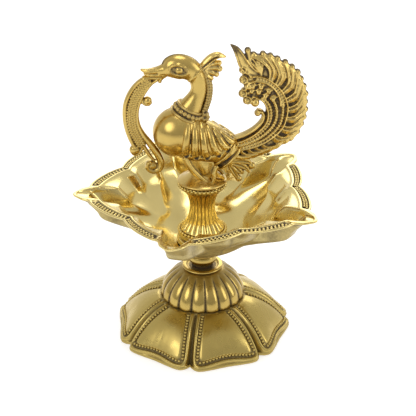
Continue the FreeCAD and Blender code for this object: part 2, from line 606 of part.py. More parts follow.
def build_bird():
    """The bird's castings, each cut back where the one before it already stands."""
    plinth_solid = bird_plinth.Shape
    stud_hole = Part.makeCylinder(size("stud_radius"), size("trunk_top_z"), Vector(0, 0, 1))
    body = less(torso(0.0).fuse(neck_and_head()), [plinth_solid, stud_hole])
    neck_lean = math.radians(62)
    ring_centre, ring_axis = Vector(-7.6, 0, 141.2), Vector(math.cos(neck_lean), 0, math.sin(neck_lean))
    ring_radius, ring_thick = 7.6, 2.0
    necklace = Part.makeTorus(ring_radius, ring_thick, ring_centre, ring_axis)
    necklace = less(necklace, [body])
    mane = less(fused([rod([(0.0, 164.5), (2.6, 159.5), (3.6, 153.5), (2.8, 147.0), (0.8, 141.5)], 1.9),
                       ball(0.4, 136.8, 2.9)]), [body, necklace])
    crest = less(slab([[(-5.0, 169.0), (3.5, 173.5), (9.0, 174.7), (13.8, 172.0)],
                       [(13.8, 172.0), (11.3, 167.5), (9.5, 162.4), (6.0, 158.4)],
                       [(6.0, 158.4), (0.0, 160.0)], [(0.0, 160.0), (-5.0, 169.0)]],
                      size("crest_thick")), [body, mane])
    skin = torso(size("wing_thick"))
    wings = [less(skin.common(wing_blank(side)), [body, necklace, mane]) for side in (-1, 1)]
    rear = torso(size("band_thick")).common(
        slab([[(25.0, 122.0), (22.0, 125.0)], [(22.0, 125.0), (-2.0, 101.0)], [(-2.0, 101.0), (1.0, 98.0)],
              [(1.0, 98.0), (25.0, 122.0)]], 40.0))
    band = less(rear, [plinth_solid, stud_hole, body] + wings)
    legs = [less(leg_blank(side), [plinth_solid, body, band] + wings) for side in (-1, 1)]
    tail = less(tail_blank(), [plinth_solid, body, band] + wings)
    plume = slab([[(13.5, 109.5), (20.0, 110.2), (26.0, 111.0), (29.8, 106.0), (28.6, 100.2)],
                  [(28.6, 100.2), (24.8, 101.8), (21.4, 95.8)], [(21.4, 95.8), (17.8, 101.5), (11.5, 106.5)],
                  [(11.5, 106.5), (13.5, 109.5)]], size("plume_thick"))
    plume = less(plume, [plinth_solid, body, band, tail] + wings)
    scroll = less(scroll_blank(), [body])
    return [
        add_casting("bird_body", body), add_casting("necklace", necklace), add_casting("neck_mane", mane),
        add_casting("crest", crest), add_casting("wing_left", wings[0]), add_casting("wing_right", wings[1]),
        add_casting("rear_band", band), add_casting("leg_left", legs[0]), add_casting("leg_right", legs[1]),
        add_casting("tail", tail), add_casting("lower_plume", plume), add_casting("beak_scroll", scroll),
    ]


# ---------------------------------------------------------------- build, check and write
pieces = [
    build_skirt(), build_dome(), build_collar(),
    ring("base_washer", "bore_radius", "base_washer_radius", "base_washer_z", "dome_roof_z"),
    build_nut(),
    ring("stem_washer", "bore_radius", "stem_washer_radius", "recess_z", "spool_foot_z"),
    build_spool(),
    build_stud("stem_stud", "stem_stud_foot_z", "stem_stud_start_z", "stem_stud_bevel_z", "stem_stud_top_z"),
    ring("bowl_gasket_lower", "bore_radius", "lower_gasket_radius", "spool_top_z", "bowl_seat_z"),
    build_bowl(),
    ring("bowl_gasket_upper", "bore_radius", "upper_gasket_radius", "bowl_floor_z", "pillar_foot_z"),
    build_pillar(),
    ring("bird_washer", "bore_radius", "bird_washer_radius", "pillar_top_z", "plinth_foot_z"),
]
bird_plinth = build_plinth()
pieces.append(bird_plinth)
pieces.append(build_stud("bird_stud", "bird_stud_foot_z", "bird_stud_start_z", "bird_stud_bevel_z", "bird_stud_top_z"))
pieces += build_bird()
doc.recompute()

for item in doc.Objects:
    if "Invalid" in item.State or "Error" in item.State:
        raise RuntimeError("%s did not build: %s" % (item.Label, item.State))
for piece in pieces:
    if piece.Shape.isNull() or not piece.Shape.isValid():
        raise RuntimeError("%s has no valid shape" % piece.Label)
for piece in pieces:
    piece.Shape.exportStep("parts/%s.step" % piece.Label)
    bounds = piece.Shape.BoundBox
    print("%-18s %8.1f mm3  x %6.1f %6.1f  y %6.1f %6.1f  z %6.1f %6.1f" % (
        piece.Label, piece.Shape.Volume, bounds.XMin, bounds.XMax, bounds.YMin, bounds.YMax, bounds.ZMin, bounds.ZMax))
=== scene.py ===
import json
import math
import bpy
import numpy as np
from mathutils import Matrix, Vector


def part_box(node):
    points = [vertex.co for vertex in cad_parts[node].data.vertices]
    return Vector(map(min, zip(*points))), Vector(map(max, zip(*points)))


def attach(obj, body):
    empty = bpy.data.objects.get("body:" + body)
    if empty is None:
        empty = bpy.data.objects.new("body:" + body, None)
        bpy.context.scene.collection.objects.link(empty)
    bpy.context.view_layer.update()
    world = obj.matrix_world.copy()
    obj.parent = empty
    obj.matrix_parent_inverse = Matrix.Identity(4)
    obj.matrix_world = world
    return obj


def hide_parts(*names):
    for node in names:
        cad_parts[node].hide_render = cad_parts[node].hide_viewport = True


# Looks of the brass standing oil lamp. Shapes are worked out in millimetres and scaled to metres
# when a mesh is made.

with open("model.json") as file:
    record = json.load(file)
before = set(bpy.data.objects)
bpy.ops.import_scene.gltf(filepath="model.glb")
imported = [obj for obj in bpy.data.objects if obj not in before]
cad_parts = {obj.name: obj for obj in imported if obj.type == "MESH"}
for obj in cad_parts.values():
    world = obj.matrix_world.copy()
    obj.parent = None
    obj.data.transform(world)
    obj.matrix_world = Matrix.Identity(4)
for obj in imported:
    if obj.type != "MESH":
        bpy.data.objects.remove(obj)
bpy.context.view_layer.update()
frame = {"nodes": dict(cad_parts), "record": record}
MM = 0.001


def span(node):
    """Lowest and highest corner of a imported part, in millimetres."""
    low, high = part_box(node)
    return np.array(low) / MM, np.array(high) / MM


# ------------------------------------------------------------------ mesh helpers
class Cast:
    """Vertices, faces and a darkness value (0 clean, 1 darkest: patina in hollows and painted shade) of a
    piece in the making.
    """

    def __init__(self):
        self.points, self.faces, self.dark, self.count = [], [], [], 0

    def add(self, points, faces, dark=0.0):
        """Adds points with blocks of faces that count from this call's first point."""
        points = np.asarray(points, float).reshape(-1, 3)
        self.points.append(points)
        self.faces += [np.asarray(block) + self.count for block in faces]
        self.dark.append(np.broadcast_to(np.asarray(dark, float).ravel(), (len(points),)))
        self.count += len(points)
        return self

    def join(self, other):
        """Adds all of another Cast."""
        for points, dark in zip(other.points, other.dark):
            self.points.append(points)
            self.dark.append(dark)
        self.faces += [block + self.count for block in other.faces]
        self.count += other.count
        return self


def grid_faces(rows, columns, close_rows, close_columns):
    """Quads of a rows x columns grid whose ends may join up."""
    row = np.arange(rows if close_rows else rows - 1)
    column = np.arange(columns if close_columns else columns - 1)
    i, j = np.meshgrid(row, column, indexing="ij")
    i2, j2 = (i + 1) % rows, (j + 1) % columns
    quads = np.stack([i * columns + j, i * columns + j2, i2 * columns + j2, i2 * columns + j], -1)
    return quads.reshape(-1, 4)


def make_object(name, cast, material, body, nodes):
    """Turns a Cast into a smooth-shaded piece that rides on its body and stands for its CAD nodes."""
    points = np.concatenate(cast.points) * MM
    mesh = bpy.data.meshes.new(name)
    sizes = np.concatenate([np.full(len(block), block.shape[1]) for block in cast.faces])
    loops = np.concatenate([block.ravel() for block in cast.faces])
    mesh.vertices.add(len(points))
    mesh.vertices.foreach_set("co", points.astype(np.float32).ravel())
    mesh.loops.add(len(loops))
    mesh.loops.foreach_set("vertex_index", loops.astype(np.int32))
    mesh.polygons.add(len(sizes))
    mesh.polygons.foreach_set("loop_start", (np.cumsum(sizes) - sizes).astype(np.int32))
    mesh.polygons.foreach_set("loop_total", sizes.astype(np.int32))
    mesh.polygons.foreach_set("use_smooth", np.ones(len(sizes), bool))
    mesh.update(calc_edges=True)
    mesh.validate()
    dark = mesh.attributes.new("dark", "FLOAT", "POINT")
    dark.data.foreach_set("value", np.concatenate(cast.dark).astype(np.float32))
    piece = bpy.data.objects.new(name, mesh)
    bpy.context.scene.collection.objects.link(piece)
    mesh.materials.append(material)
    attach(piece, body)
    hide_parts(*nodes)
    return piece


def smoothstep(low, high, value):
    """0 at low, 1 at high, eased at both ends; low may be the greater."""
    share = np.clip((np.asarray(value, float) - low) / (high - low), 0, 1)
    return share * share * (3 - 2 * share)


def curve_through(points, steps):
    """Catmull-Rom curve through a short list of given points; steps are per span."""
    points = np.asarray(points, float)
    padded = np.vstack([2 * points[0] - points[1], points, 2 * points[-1] - points[-2]])
    share = (np.arange(steps) / steps)[:, None]
    pieces = []
    for a, b, c, d in zip(padded, padded[1:], padded[2:], padded[3:]):
        pieces.append(0.5 * (2 * b + (c - a) * share + (2 * a - 5 * b + 4 * c - d) * share ** 2
                             + (3 * b - a - 3 * c + d) * share ** 3))
    return np.vstack(pieces + [points[-1:]])


def round_outline(corners, spacing=0.5):
    """Closed (r, z) outline with each corner (r, z, rounding) eased, cut into even steps."""
    slight_rounding = 0.15
    place = np.array([corner[:2] for corner in corners])
    easing = [corner[2] if len(corner) == 3 else slight_rounding for corner in corners]
    outline = []
    for here, after, before, ease in zip(place, np.roll(place, -1, 0), np.roll(place, 1, 0), easing):
        ends = []
        for way in (before - here, after - here):
            length = np.linalg.norm(way)
            ends.append(here + way / length * min(ease, 0.45 * length))
        enter, leave = ends
        for share in np.linspace(0, 1, 6):
            outline.append((1 - share) ** 2 * enter + 2 * share * (1 - share) * here + share ** 2 * leave)
    dense = []
    for a, b in zip(outline, outline[1:] + outline[:1]):
        cuts = max(1, int(np.linalg.norm(b - a) / spacing))
        dense += [a + (b - a) * k / cuts for k in range(cuts)]
    return np.array(dense)


def ring_skin(rows, angle, flip=True):
    """One closed skin from rings (r, z, darkness); each value is a number or one for every angle."""
    r, z, dark = [np.array([np.broadcast_to(row[k], angle.shape) for row in rows]) for k in range(3)]
    points = np.stack([r * np.cos(angle), r * np.sin(angle), z], -1)
    faces = grid_faces(len(rows), len(angle), True, True)
    return Cast().add(points, [faces[:, ::-1] if flip else faces], dark)


def turned(outline, columns, shape):
    """A closed (r, z) outline swept round the axis; shape(r, z, angle) gives new radii and darkness."""
    angle = np.linspace(0, 2 * np.pi, columns, endpoint=False)
    r = np.repeat(outline[:, :1], columns, 1)
    z = np.repeat(outline[:, 1:], columns, 1)
    r, dark = shape(r, z, np.repeat(angle[None], len(outline), 0))
    return ring_skin(list(zip(r, z, dark)), angle)


def unit_ball(rings=7, columns=12):
    """Points, quads and end triangles of a ball of radius 1."""
    polar = np.linspace(0, np.pi, rings + 1)[1:-1]
    turn = np.linspace(0, 2 * np.pi, columns, endpoint=False)
    p, t = np.meshgrid(polar, turn, indexing="ij")
    points = np.stack([np.sin(p) * np.cos(t), np.sin(p) * np.sin(t), np.cos(p)], -1).reshape(-1, 3)
    points = np.vstack([points, [[0, 0, 1], [0, 0, -1]]])
    top, bottom, last = len(points) - 2, len(points) - 1, (rings - 2) * columns
    ring = np.arange(columns)
    beside = (ring + 1) % columns
    caps = np.vstack([np.stack([ring, beside, np.full(columns, top)], -1),
                      np.stack([last + beside, last + ring, np.full(columns, bottom)], -1)])
    return points, grid_faces(rings - 1, columns, False, True)[:, ::-1], caps


BALL = unit_ball()


def beads(centres, radius, shade_below):
    """A row of small balls; their lower halves are darkened as painted shade."""
    points, quads, caps = BALL
    cast = Cast()
    for centre in centres:
        # Painted shade: each bead darker towards its underside.
        cast.add(points * radius + centre, [quads, caps], shade_below * smoothstep(0.3, -0.6, points[:, 2]))
    return cast


def along(points, spacing):
    """Evenly spaced places on a line of points, with the ends left half a space free."""
    points = np.asarray(points, float)
    length = line_length(points)
    count = max(1, int(round(length[-1] / spacing)))
    where = (np.arange(count) + 0.5) * length[-1] / count
    return np.stack([np.interp(where, length, column) for column in points.T], -1)


def line_length(points):
    """Length of a line of points, from its start to each point."""
    return np.concatenate([[0], np.cumsum(np.linalg.norm(np.diff(points, axis=0), axis=1))])


# ------------------------------------------------------------------ materials
def set_inputs(node, inputs):
    """Gives each input its value, or links it to another node's output."""
    for socket, value in inputs.items():
        if isinstance(value, bpy.types.NodeSocket):
            node.id_data.links.new(value, node.inputs[socket])
        else:
            node.inputs[socket].default_value = value


def add_node(tree, kind, inputs, **settings):
    """A new shader node with its settings and inputs."""
    node = tree.nodes.new(kind)
    for setting, value in settings.items():
        setattr(node, setting, value)
    set_inputs(node, inputs)
    return node


def new_material(name):
    """A node material, its node tree and its shader."""
    material = bpy.data.materials.new(name)
    material.use_nodes = True
    return material, material.node_tree, material.node_tree.nodes["Principled BSDF"]


def brass(name, clean, worn, patina_and_shade_tone, rough, patina_and_shade_amount=1.0, grain=0.0):
    """Polished or cast brass: colour drift, fine wiping marks, and a dark tone for patina in the sunk parts
    and for painted shade.
    """
    material, tree, shader = new_material(name)
    place = add_node(tree, "ShaderNodeTexCoord", {}).outputs["Object"]

    def noise(scale, detail, distortion=0.0):
        inputs = {"Vector": place, "Scale": scale, "Detail": detail, "Distortion": distortion}
        return add_node(tree, "ShaderNodeTexNoise", inputs).outputs["Fac"]

    def ramp(source, low, high, first, last):
        inputs = {"Value": source, "From Min": low, "From Max": high, "To Min": first, "To Max": last}
        return add_node(tree, "ShaderNodeMapRange", inputs).outputs["Result"]

    def maths(operation, *values, clamp=False):
        node = add_node(tree, "ShaderNodeMath", dict(enumerate(values)), operation=operation, use_clamp=clamp)
        return node.outputs["Value"]

    def mix_colour(factor, first, second):
        factor_in, first_in, second_in, colour_out = 0, 6, 7, 2
        inputs = {factor_in: factor, first_in: first, second_in: second}
        return add_node(tree, "ShaderNodeMix", inputs, data_type="RGBA").outputs[colour_out]

    drift = ramp(noise(38.0, 4.0), 0.35, 0.7, 0.0, 1.0)
    metal = mix_colour(drift, (*clean, 1), (*worn, 1))
    # The dark attribute holds patina in the hollows and painted shade; it mixes in the dark tone, dulls the
    # metal and roughens it.
    patina_and_shade_mask = add_node(tree, "ShaderNodeAttribute", {}, attribute_name="dark").outputs["Fac"]
    speckle = ramp(noise(900.0, 3.0), 0.3, 0.75, 0.72, 1.12)
    patina_and_shade = maths("MULTIPLY", maths("MULTIPLY", patina_and_shade_mask, speckle), patina_and_shade_amount, clamp=True)
    polish = ramp(noise(160.0, 5.0, 0.6), 0.3, 0.75, rough * 0.75, rough * 1.35)
    height = maths("MULTIPLY_ADD", noise(620.0, 4.0), grain, noise(2600.0, 2.0, 1.5))
    bump = add_node(tree, "ShaderNodeBump", {"Strength": 0.05 + 0.1 * min(grain, 2.0), "Distance": 0.00012,
                                             "Height": height})
    set_inputs(shader, {"Base Color": mix_colour(patina_and_shade, metal, (*patina_and_shade_tone, 1)),
                        "Metallic": ramp(patina_and_shade, 0.0, 1.0, 1.0, 0.55),
                        "Roughness": maths("MULTIPLY_ADD", patina_and_shade, 0.38, polish),
                        "Normal": bump.outputs["Normal"]})
    return material


# Dark tone for patina in the hollows and for painted shade.
PATINA_AND_SHADE = (0.055, 0.036, 0.022)
polished_brass = brass("polished_brass", (0.51, 0.365, 0.105), (0.42, 0.29, 0.08), PATINA_AND_SHADE, 0.2, 1.0, 0.6)
bowl_brass = brass("bowl_brass", (0.79, 0.635, 0.255), (0.68, 0.53, 0.2), PATINA_AND_SHADE, 0.19, 1.15)
skirt_brass = brass("skirt_brass", (0.53, 0.4, 0.125), (0.5, 0.37, 0.11), PATINA_AND_SHADE, 0.29, 1.0, 0.8)
cast_brass = brass("cast_brass", (0.7, 0.51, 0.17), (0.58, 0.41, 0.125), PATINA_AND_SHADE, 0.24, 1.1, 1.2)
bird_brass = brass("bird_brass", (0.6, 0.425, 0.125), (0.51, 0.355, 0.1), PATINA_AND_SHADE, 0.24, 1.1, 0.9)
pillar_brass = brass("pillar_brass", (0.78, 0.6, 0.2), (0.68, 0.5, 0.15), PATINA_AND_SHADE, 0.15, 1.1, 0.5)
bare_steel = brass("plated_steel", (0.55, 0.54, 0.5), (0.42, 0.41, 0.38), (0.12, 0.09, 0.06), 0.34, 0.8, 1.0)


def leather():
    """Oil-darkened leather washer: matt, mottled, with a pore grain."""
    material, tree, shader = new_material("oiled_leather")
    place = add_node(tree, "ShaderNodeTexCoord", {}).outputs["Object"]
    mottle = add_node(tree, "ShaderNodeTexNoise", {"Vector": place, "Scale": 420.0, "Detail": 5.0})
    tint = add_node(tree, "ShaderNodeValToRGB", {"Fac": mottle.outputs["Fac"]})
    tint.color_ramp.elements[0].color = (0.028, 0.014, 0.008, 1)
    tint.color_ramp.elements[1].color = (0.085, 0.045, 0.022, 1)
    pores = add_node(tree, "ShaderNodeTexVoronoi", {"Vector": place, "Scale": 1900.0})
    bump = add_node(tree, "ShaderNodeBump", {"Strength": 0.4, "Distance": 0.0001,
                                             "Height": pores.outputs["Distance"]})
    set_inputs(shader, {"Base Color": tint.outputs["Color"], "Roughness": 0.62,
                        "Normal": bump.outputs["Normal"]})
    return material


oiled_leather = leather()


# ------------------------------------------------------------------ petalled skirt
PETALS = 7
SKIRT_TOP_Z = span("petal_skirt")[1][2]
SKIRT_SEAT_R = 21.8
SKIRT_TOP_R = 24.8
SKIRT_WALL = 2.4
FOOT_R = 49.3
LIP_Z = 2.5
BOW = 3.4
SLOPE = np.hypot(FOOT_R - SKIRT_TOP_R, SKIRT_TOP_Z - LIP_Z)
OUT_R = (SKIRT_TOP_Z - LIP_Z) / SLOPE
OUT_Z = (FOOT_R - SKIRT_TOP_R) / SLOPE
SLOPE_ROWS = 74
LIP_ROWS = [(0.35, 2.3), (0.75, 1.9), (0.95, 1.3), (0.8, 0.7), (0.3, 0.2), (-0.5, 0.0), (-2.6, 0.0),
            (-3.2, 0.4), (-3.6, 1.6)]
INNER_ROWS = 18
BEAD_R = 0.85
BEAD_PITCH = 1.95
BEAD_INSET = 4.15
LOWEST_BEAD = 0.895


def bow_out(share):
    """How far a petal bows out of its straight slope at a share of the way down."""
    return BOW * math.sin(math.pi * share ** 0.85)


def skirt_profile(share):
    """(r, z) of the bowed slope at a share of the way down from the dome to the lip."""
    bow = bow_out(share)
    return (SKIRT_TOP_R + (FOOT_R - SKIRT_TOP_R) * share + bow * OUT_R,
            SKIRT_TOP_Z + (LIP_Z - SKIRT_TOP_Z) * share + bow * OUT_Z)

def petal_place(angle):
    """Distance in turns from the middle of a petal (0) to the valley beside it (1)."""
    turns = (angle - np.pi) * PETALS / (2 * np.pi)
    return np.abs((turns + 0.5) % 1.0 - 0.5) * 2


def foot_wave(across):
    """The foot's wavy outline: a dip in the middle, corners that stand out, a notch at the valley."""
    return np.interp(across, [0, 0.2, 0.45, 0.66, 0.78, 0.88, 0.95, 1.0],
                     [-0.4, 0.0, 1.1, 2.3, 2.5, 1.3, -0.4, -1.9])


def petal_relief(side, down):
    """Height and darkness of the petal's surface, from the distances (mm) to its side and lower edge; the
    darkness is patina and painted shade.
    """
    edge = -1.6 * np.log(np.exp(-side / 1.6) + np.exp(-down / 1.6))
    height = np.interp(edge, [-1.0, 0.0, 0.8, 1.5, 2.1, 2.8, 3.3, 5.0, 5.5, 6.2, 10.0, 16.0],
                       [-1.7, -1.6, -0.5, 0.7, 0.95, 0.55, -0.35, -0.4, 0.0, 0.3, 0.7, 0.9])
    # Darkest in the valley at the petal's edge and in the bead channel: patina and painted shade.
    dark = np.interp(edge, [-1.0, 0.0, 0.9, 1.4, 2.7, 3.3, 5.0, 5.6],
                     [1.0, 0.9, 0.35, 0.0, 0.0, 0.8, 0.8, 0.0])
    return height, dark


def on_panel(share, offset, petal, sign):
    """A place on a petal: its share of the way down and its distance (mm) from the valley."""
    r, z = skirt_profile(share)
    turn = np.pi / PETALS - offset / r
    r += foot_wave(abs(turn) * PETALS / np.pi) * share ** 1.5
    a = np.pi + petal * 2 * np.pi / PETALS + sign * turn
    return [r * math.cos(a), r * math.sin(a), z]


def petal_beads(petal):
    """Bead rows down both sides of a petal and across its foot."""
    cast = Cast()
    for sign in (-1, 1):
        line = [on_panel(share, BEAD_INSET, petal, sign) for share in np.linspace(0.05, LOWEST_BEAD, 40)]
        cast.join(beads(along(line, BEAD_PITCH), BEAD_R, 0.4))
    corner_r = FOOT_R - 3
    widest = np.pi / PETALS - (BEAD_INSET + 0.8) / corner_r
    bottom = []
    for turn in np.linspace(-1, 1, 60):
        place = abs(turn) * widest * PETALS / np.pi
        share = LOWEST_BEAD + 0.02 - 0.045 * smoothstep(0.75, 0.1, place)
        offset = (np.pi / PETALS - abs(turn) * widest) * corner_r
        bottom.append(on_panel(share, offset, petal, math.copysign(1, turn)))
    return cast.join(beads(along(bottom, BEAD_PITCH), BEAD_R, 0.4))


def build_skirt():
    """Hollow petalled skirt: the slope with its relief, the lip, and the plain wall inside."""
    angle = np.linspace(0, 2 * np.pi, PETALS * 96, endpoint=False)
    across = petal_place(angle)
    rows = []
    for k in range(SLOPE_ROWS):
        share = (k / (SLOPE_ROWS - 1)) ** 0.92
        r, z = skirt_profile(share)
        r = r + foot_wave(across) * share ** 1.5
        side = (1 - across) * np.pi / PETALS * r
        down = (1 - share) * SLOPE - 0.4 - 1.3 * smoothstep(0.75, 0.1, across)
        relief, dark = petal_relief(side, down + 2.5)
        # Over the top of the slope the darkness eases towards 0.5: painted shade where the skirt meets the
        # dome.
        fade = smoothstep(0.0, 0.05, share)
        relief = relief * fade * (0.75 + 0.25 * share)
        rows.append((r + relief * OUT_R, z + relief * OUT_Z, dark * fade + 0.5 * (1 - fade)))
    edge_r = FOOT_R + foot_wave(across)
    rows += [(edge_r + grow, z, 0.12) for grow, z in LIP_ROWS]
    # The wall inside and the seat are darkened as painted shade.
    for k in range(INNER_ROWS):
        share = 1 - k / (INNER_ROWS - 1)
        bow = bow_out(share)
        r = SKIRT_SEAT_R + (FOOT_R - SKIRT_WALL - 2.0 - SKIRT_SEAT_R) * share + bow * OUT_R
        z = (SKIRT_TOP_Z - SKIRT_WALL * 0.6) + (LIP_Z - SKIRT_TOP_Z) * share + bow * OUT_Z
        rows.append((r + foot_wave(across) * share ** 1.5, z, 0.55))
    rows.append((SKIRT_SEAT_R, SKIRT_TOP_Z, 0.5))
    cast = ring_skin(rows, angle, flip=False)
    for petal in range(PETALS):
        cast.join(petal_beads(petal))
    return make_object("skirt_casting", cast, skirt_brass, "base", ["petal_skirt"])


# ------------------------------------------------------------------ dome, collar, spool
RIBS = 18
RIB_DEPTH = 1.7
STUD_R = 3.0
BORE_R = STUD_R + 0.05
dome_low, dome_high = span("ribbed_dome")
DOME_R = dome_high[0] - 0.4
DOME_FOOT_Z = dome_low[2]
DOME_WALL = 4.2


def build_dome():
    """Hollow dome with rounded ribs that fade out under the collar."""
    centre_r, centre_z = 7.8, 24.0
    radius = DOME_R - centre_r
    foot = [(SKIRT_SEAT_R, DOME_FOOT_Z), (DOME_R - 0.6, DOME_FOOT_Z), (DOME_R - 0.1, DOME_FOOT_Z + 0.5)]
    shoulder = curve_through([(DOME_R, DOME_FOOT_Z + 1.0), (24.9, 25.2), (23.8, 29.0), (21.4, 33.0),
                              (17.8, 36.8), (13.4, 39.8), (11.4, 40.5)], 8)
    top_z = span("dome_collar")[0][2]
    crown = [(11.2, top_z - 0.05), (9.0, top_z), (6.0, top_z), (BORE_R, top_z), (BORE_R, top_z - 3),
             (10.0, top_z - 3)]
    inner = [(centre_r + (radius - DOME_WALL) * math.cos(t), centre_z + (radius - DOME_WALL) * math.sin(t))
             for t in np.radians(np.linspace(60, 0, 12))]
    outline = np.vstack([foot, shoulder, crown, inner])
    outline[-1, 0] = SKIRT_SEAT_R

    def ribs(r, z, a):
        wave = np.abs(np.cos(a * RIBS / 2))
        height = RIB_DEPTH * (wave ** 0.5 - 1)
        inside_r = SKIRT_SEAT_R - 0.01 - 12 * (z > DOME_FOOT_Z + 2)
        outer = (np.hypot(r - centre_r, z - centre_z) > radius - 2.6) | (r > DOME_R - 1)
        share = smoothstep(12.5, 17, r) * (r > inside_r) * outer
        # Painted shade with patina in the rib grooves.
        dark = smoothstep(0.5, 0.08, wave) * share * 0.95
        # Painted reflection: the dome's top darker, as where it mirrors the bowl's dark underside; the inside
        # surfaces darker as painted shade.
        shade = 0.35 * smoothstep(33.0, 39.5, z) * outer
        return r + height * share * (0.55 + 0.45 * r / DOME_R), np.maximum(dark, shade) + 0.4 * (~outer)

    cast = turned(outline, RIBS * 28, ribs)
    return make_object("dome_casting", cast, polished_brass, "base", ["ribbed_dome"])


def build_collar():
    """Small turned ring on the dome, with a recess for the washer."""
    low, high = span("dome_collar")
    foot, top = low[2], high[2]
    outline = round_outline([
        (BORE_R, foot), (10.6, foot), (high[0] - 0.2, foot + 0.9, 0.9), (high[0] - 0.4, top, 0.9),
        (9.6, top, 0.5), (9.0, top - 1.0, 0.4), (BORE_R, top - 1.0)], 0.6)

    def shade(r, z, a):
        # Patina and painted shade in the washer's recess; painted shade along the foot where the ring sits on
        # the dome.
        return r, 0.75 * smoothstep(9.2, 7.5, r) * (z > foot + 0.3) + 0.5 * smoothstep(foot + 0.5, foot, z)

    cast = turned(outline, 160, shade)
    return make_object("collar_ring", cast, polished_brass, "base", ["dome_collar"])


def build_spool():
    """Turned waist under the bowl, with three grooves."""
    low, high = span("stem_spool")
    foot, top = low[2], high[2]
    outline = round_outline([
        (STUD_R, foot), (6.0, foot, 0.2), (6.0, foot + 1.3, 0.8), (7.6, foot + 2.2, 1.6),
        (8.5, foot + 4.6, 2.4), (8.0, foot + 6.6, 0.8), (7.4, foot + 7.1, 0.3), (8.9, foot + 7.6, 0.35),
        (9.2, foot + 8.3, 0.4), (8.4, foot + 8.9, 0.25), (8.3, foot + 9.2, 0.2), (9.4, foot + 9.7, 0.3),
        (9.6, foot + 10.3, 0.3), (9.0, foot + 10.8, 0.2), (10.2, foot + 11.5, 0.4), (12.2, top - 0.5, 0.4),
        (12.2, top), (STUD_R, top)], 0.5)

    def shade(r, z, a):
        low_z = z - foot
        # Painted shadow at the narrow foot of the waist; the grooves darkened with patina and painted shade.
        dark = 0.8 * smoothstep(2.2, 0.8, low_z)
        for groove in (7.1, 9.05, 10.8):
            dark = np.maximum(dark, 0.8 * np.exp(-((low_z - groove) / 0.28) ** 2))
        return r, dark

    cast = turned(outline, 144, shade)
    return make_object("spool_turning", cast, polished_brass, "stem", ["stem_spool"])


# ------------------------------------------------------------------ bowl
SPOUTS = 5
SECTOR = 360.0 / SPOUTS
MIDWAY = SECTOR / 2
SPOUT_HALF_TURN = 7.8
BOWL_FOOT_Z, RIM_Z = span("bowl")[0][2], span("bowl")[1][2]
OUTER_RIM = [(0, 74.4), (1.2, 73.9), (2.5, 72.8), (4.0, 71.4), (5.5, 69.9), (6.8, 67.4), (7.8, 65.9),
             (11, 65.5), (14.5, 64.5), (21, 62.4), (27, 60.4), (32, 58.5), (36, 56.9)]
INNER_RIM = [(0, 72.4), (1.2, 72.0), (2.5, 70.4), (4.0, 67.6), (5.5, 64.2), (6.8, 61.3), (7.8, 59.4),
             (11, 58.2), (14.5, 57.2), (21, 55.2), (27, 53.6), (32, 52.2), (36, 50.6)]
KEEL = [(BOWL_FOOT_Z, 15.5), (58.5, 22.0), (62.0, 27.5), (66.0, 33.5), (70.0, 43.0), (76.0, 57.3),
        (81.5, 61.6), (87.0, 66.3)]
# Rows of the rim band: share of the way from the outer to the inner rim, height and darkness; the bead
# channel's darkness is patina and painted shade.
RIM_BAND = [(0.0, -0.5, 0.1), (0.04, -0.12, 0.0), (0.1, 0.0, 0.0), (0.17, -0.1, 0.1), (0.21, -0.7, 1.0),
            (0.28, -1.1, 1.0), (0.46, -1.15, 1.0), (0.64, -1.1, 1.0), (0.71, -0.7, 1.0), (0.76, -0.1, 0.2),
            (0.86, 0.0, 0.0), (0.95, -0.15, 0.0), (1.0, -0.6, 0.0)]
FLANGE_Z = 87.0
BOWL_WALL = 1.6
BOWL_BORE_R = 3.1


def away_from_spout(angle):
    """Degrees from the nearest spout's axis."""
    turns = (np.degrees(angle) - 180.0) / SECTOR
    return np.abs((turns + 0.5) % 1.0 - 0.5) * SECTOR


def rim_radius(away, table):
    """Eased reading of a rim outline."""
    where, value = curve_through(table, 5).T
    return np.interp(away, where, value)


def bowl_wall(z, away, rim, rim_z):
    """Radius of the wall at a height: the keel's profile under a spout, drawn in beside it, with folds
    9 degrees from the spout and midway between spouts, turned out above FLANGE_Z to meet the rim."""
    heights, radii = curve_through(KEEL, 12).T
    soft = 1 - smoothstep(62.0, 81.0, z)
    fade = smoothstep(72.0, 85.0, z)
    shoulder = 15.0 * smoothstep(4.6 * (1 - soft), 13.0 + 20.0 * soft, away)
    folds = 3.2 * np.exp(-((away - MIDWAY) / 5.0) ** 2) + 3.0 * np.exp(-((away - 9.0) / 3.6) ** 2)
    radius = np.interp(z, heights, radii) - shoulder * smoothstep(60.0, 78.0, z) - folds * fade
    turn_out = np.clip((z - FLANGE_Z) / (rim_z - FLANGE_Z), 0, 1) ** 1.7
    return np.minimum(radius + (rim - radius) * turn_out, rim)


def bowl_columns():
    """Angles round the bowl, closer together at the spouts, and exact at the tips, shoulders and notches."""
    half = np.concatenate([np.linspace(0, SPOUT_HALF_TURN, 16), np.linspace(SPOUT_HALF_TURN, MIDWAY, 38)[1:]])
    sector = np.concatenate([half[:-1], SECTOR - half[::-1][:-1]])
    return np.radians(180 + np.concatenate([sector + k * SECTOR for k in range(SPOUTS)]))


def rim_beads():
    """Two rows of beads in the channel of the rim band, between one spout and the next."""
    cast = Cast()
    for k in range(SPOUTS):
        for sign in (-1, 1):
            for share, first, last in ((0.36, 10.2, 35.8), (0.57, 11.2, 35.3)):
                turn = np.linspace(first, last, 60)
                radius = rim_radius(turn, OUTER_RIM) * (1 - share) + rim_radius(turn, INNER_RIM) * share
                a = np.radians(180 + k * SECTOR + sign * turn)
                line = np.stack([radius * np.cos(a), radius * np.sin(a), np.full(60, RIM_Z - 0.85)], -1)
                cast.join(beads(along(line, 2.3), 0.8, 0.75))
    return cast


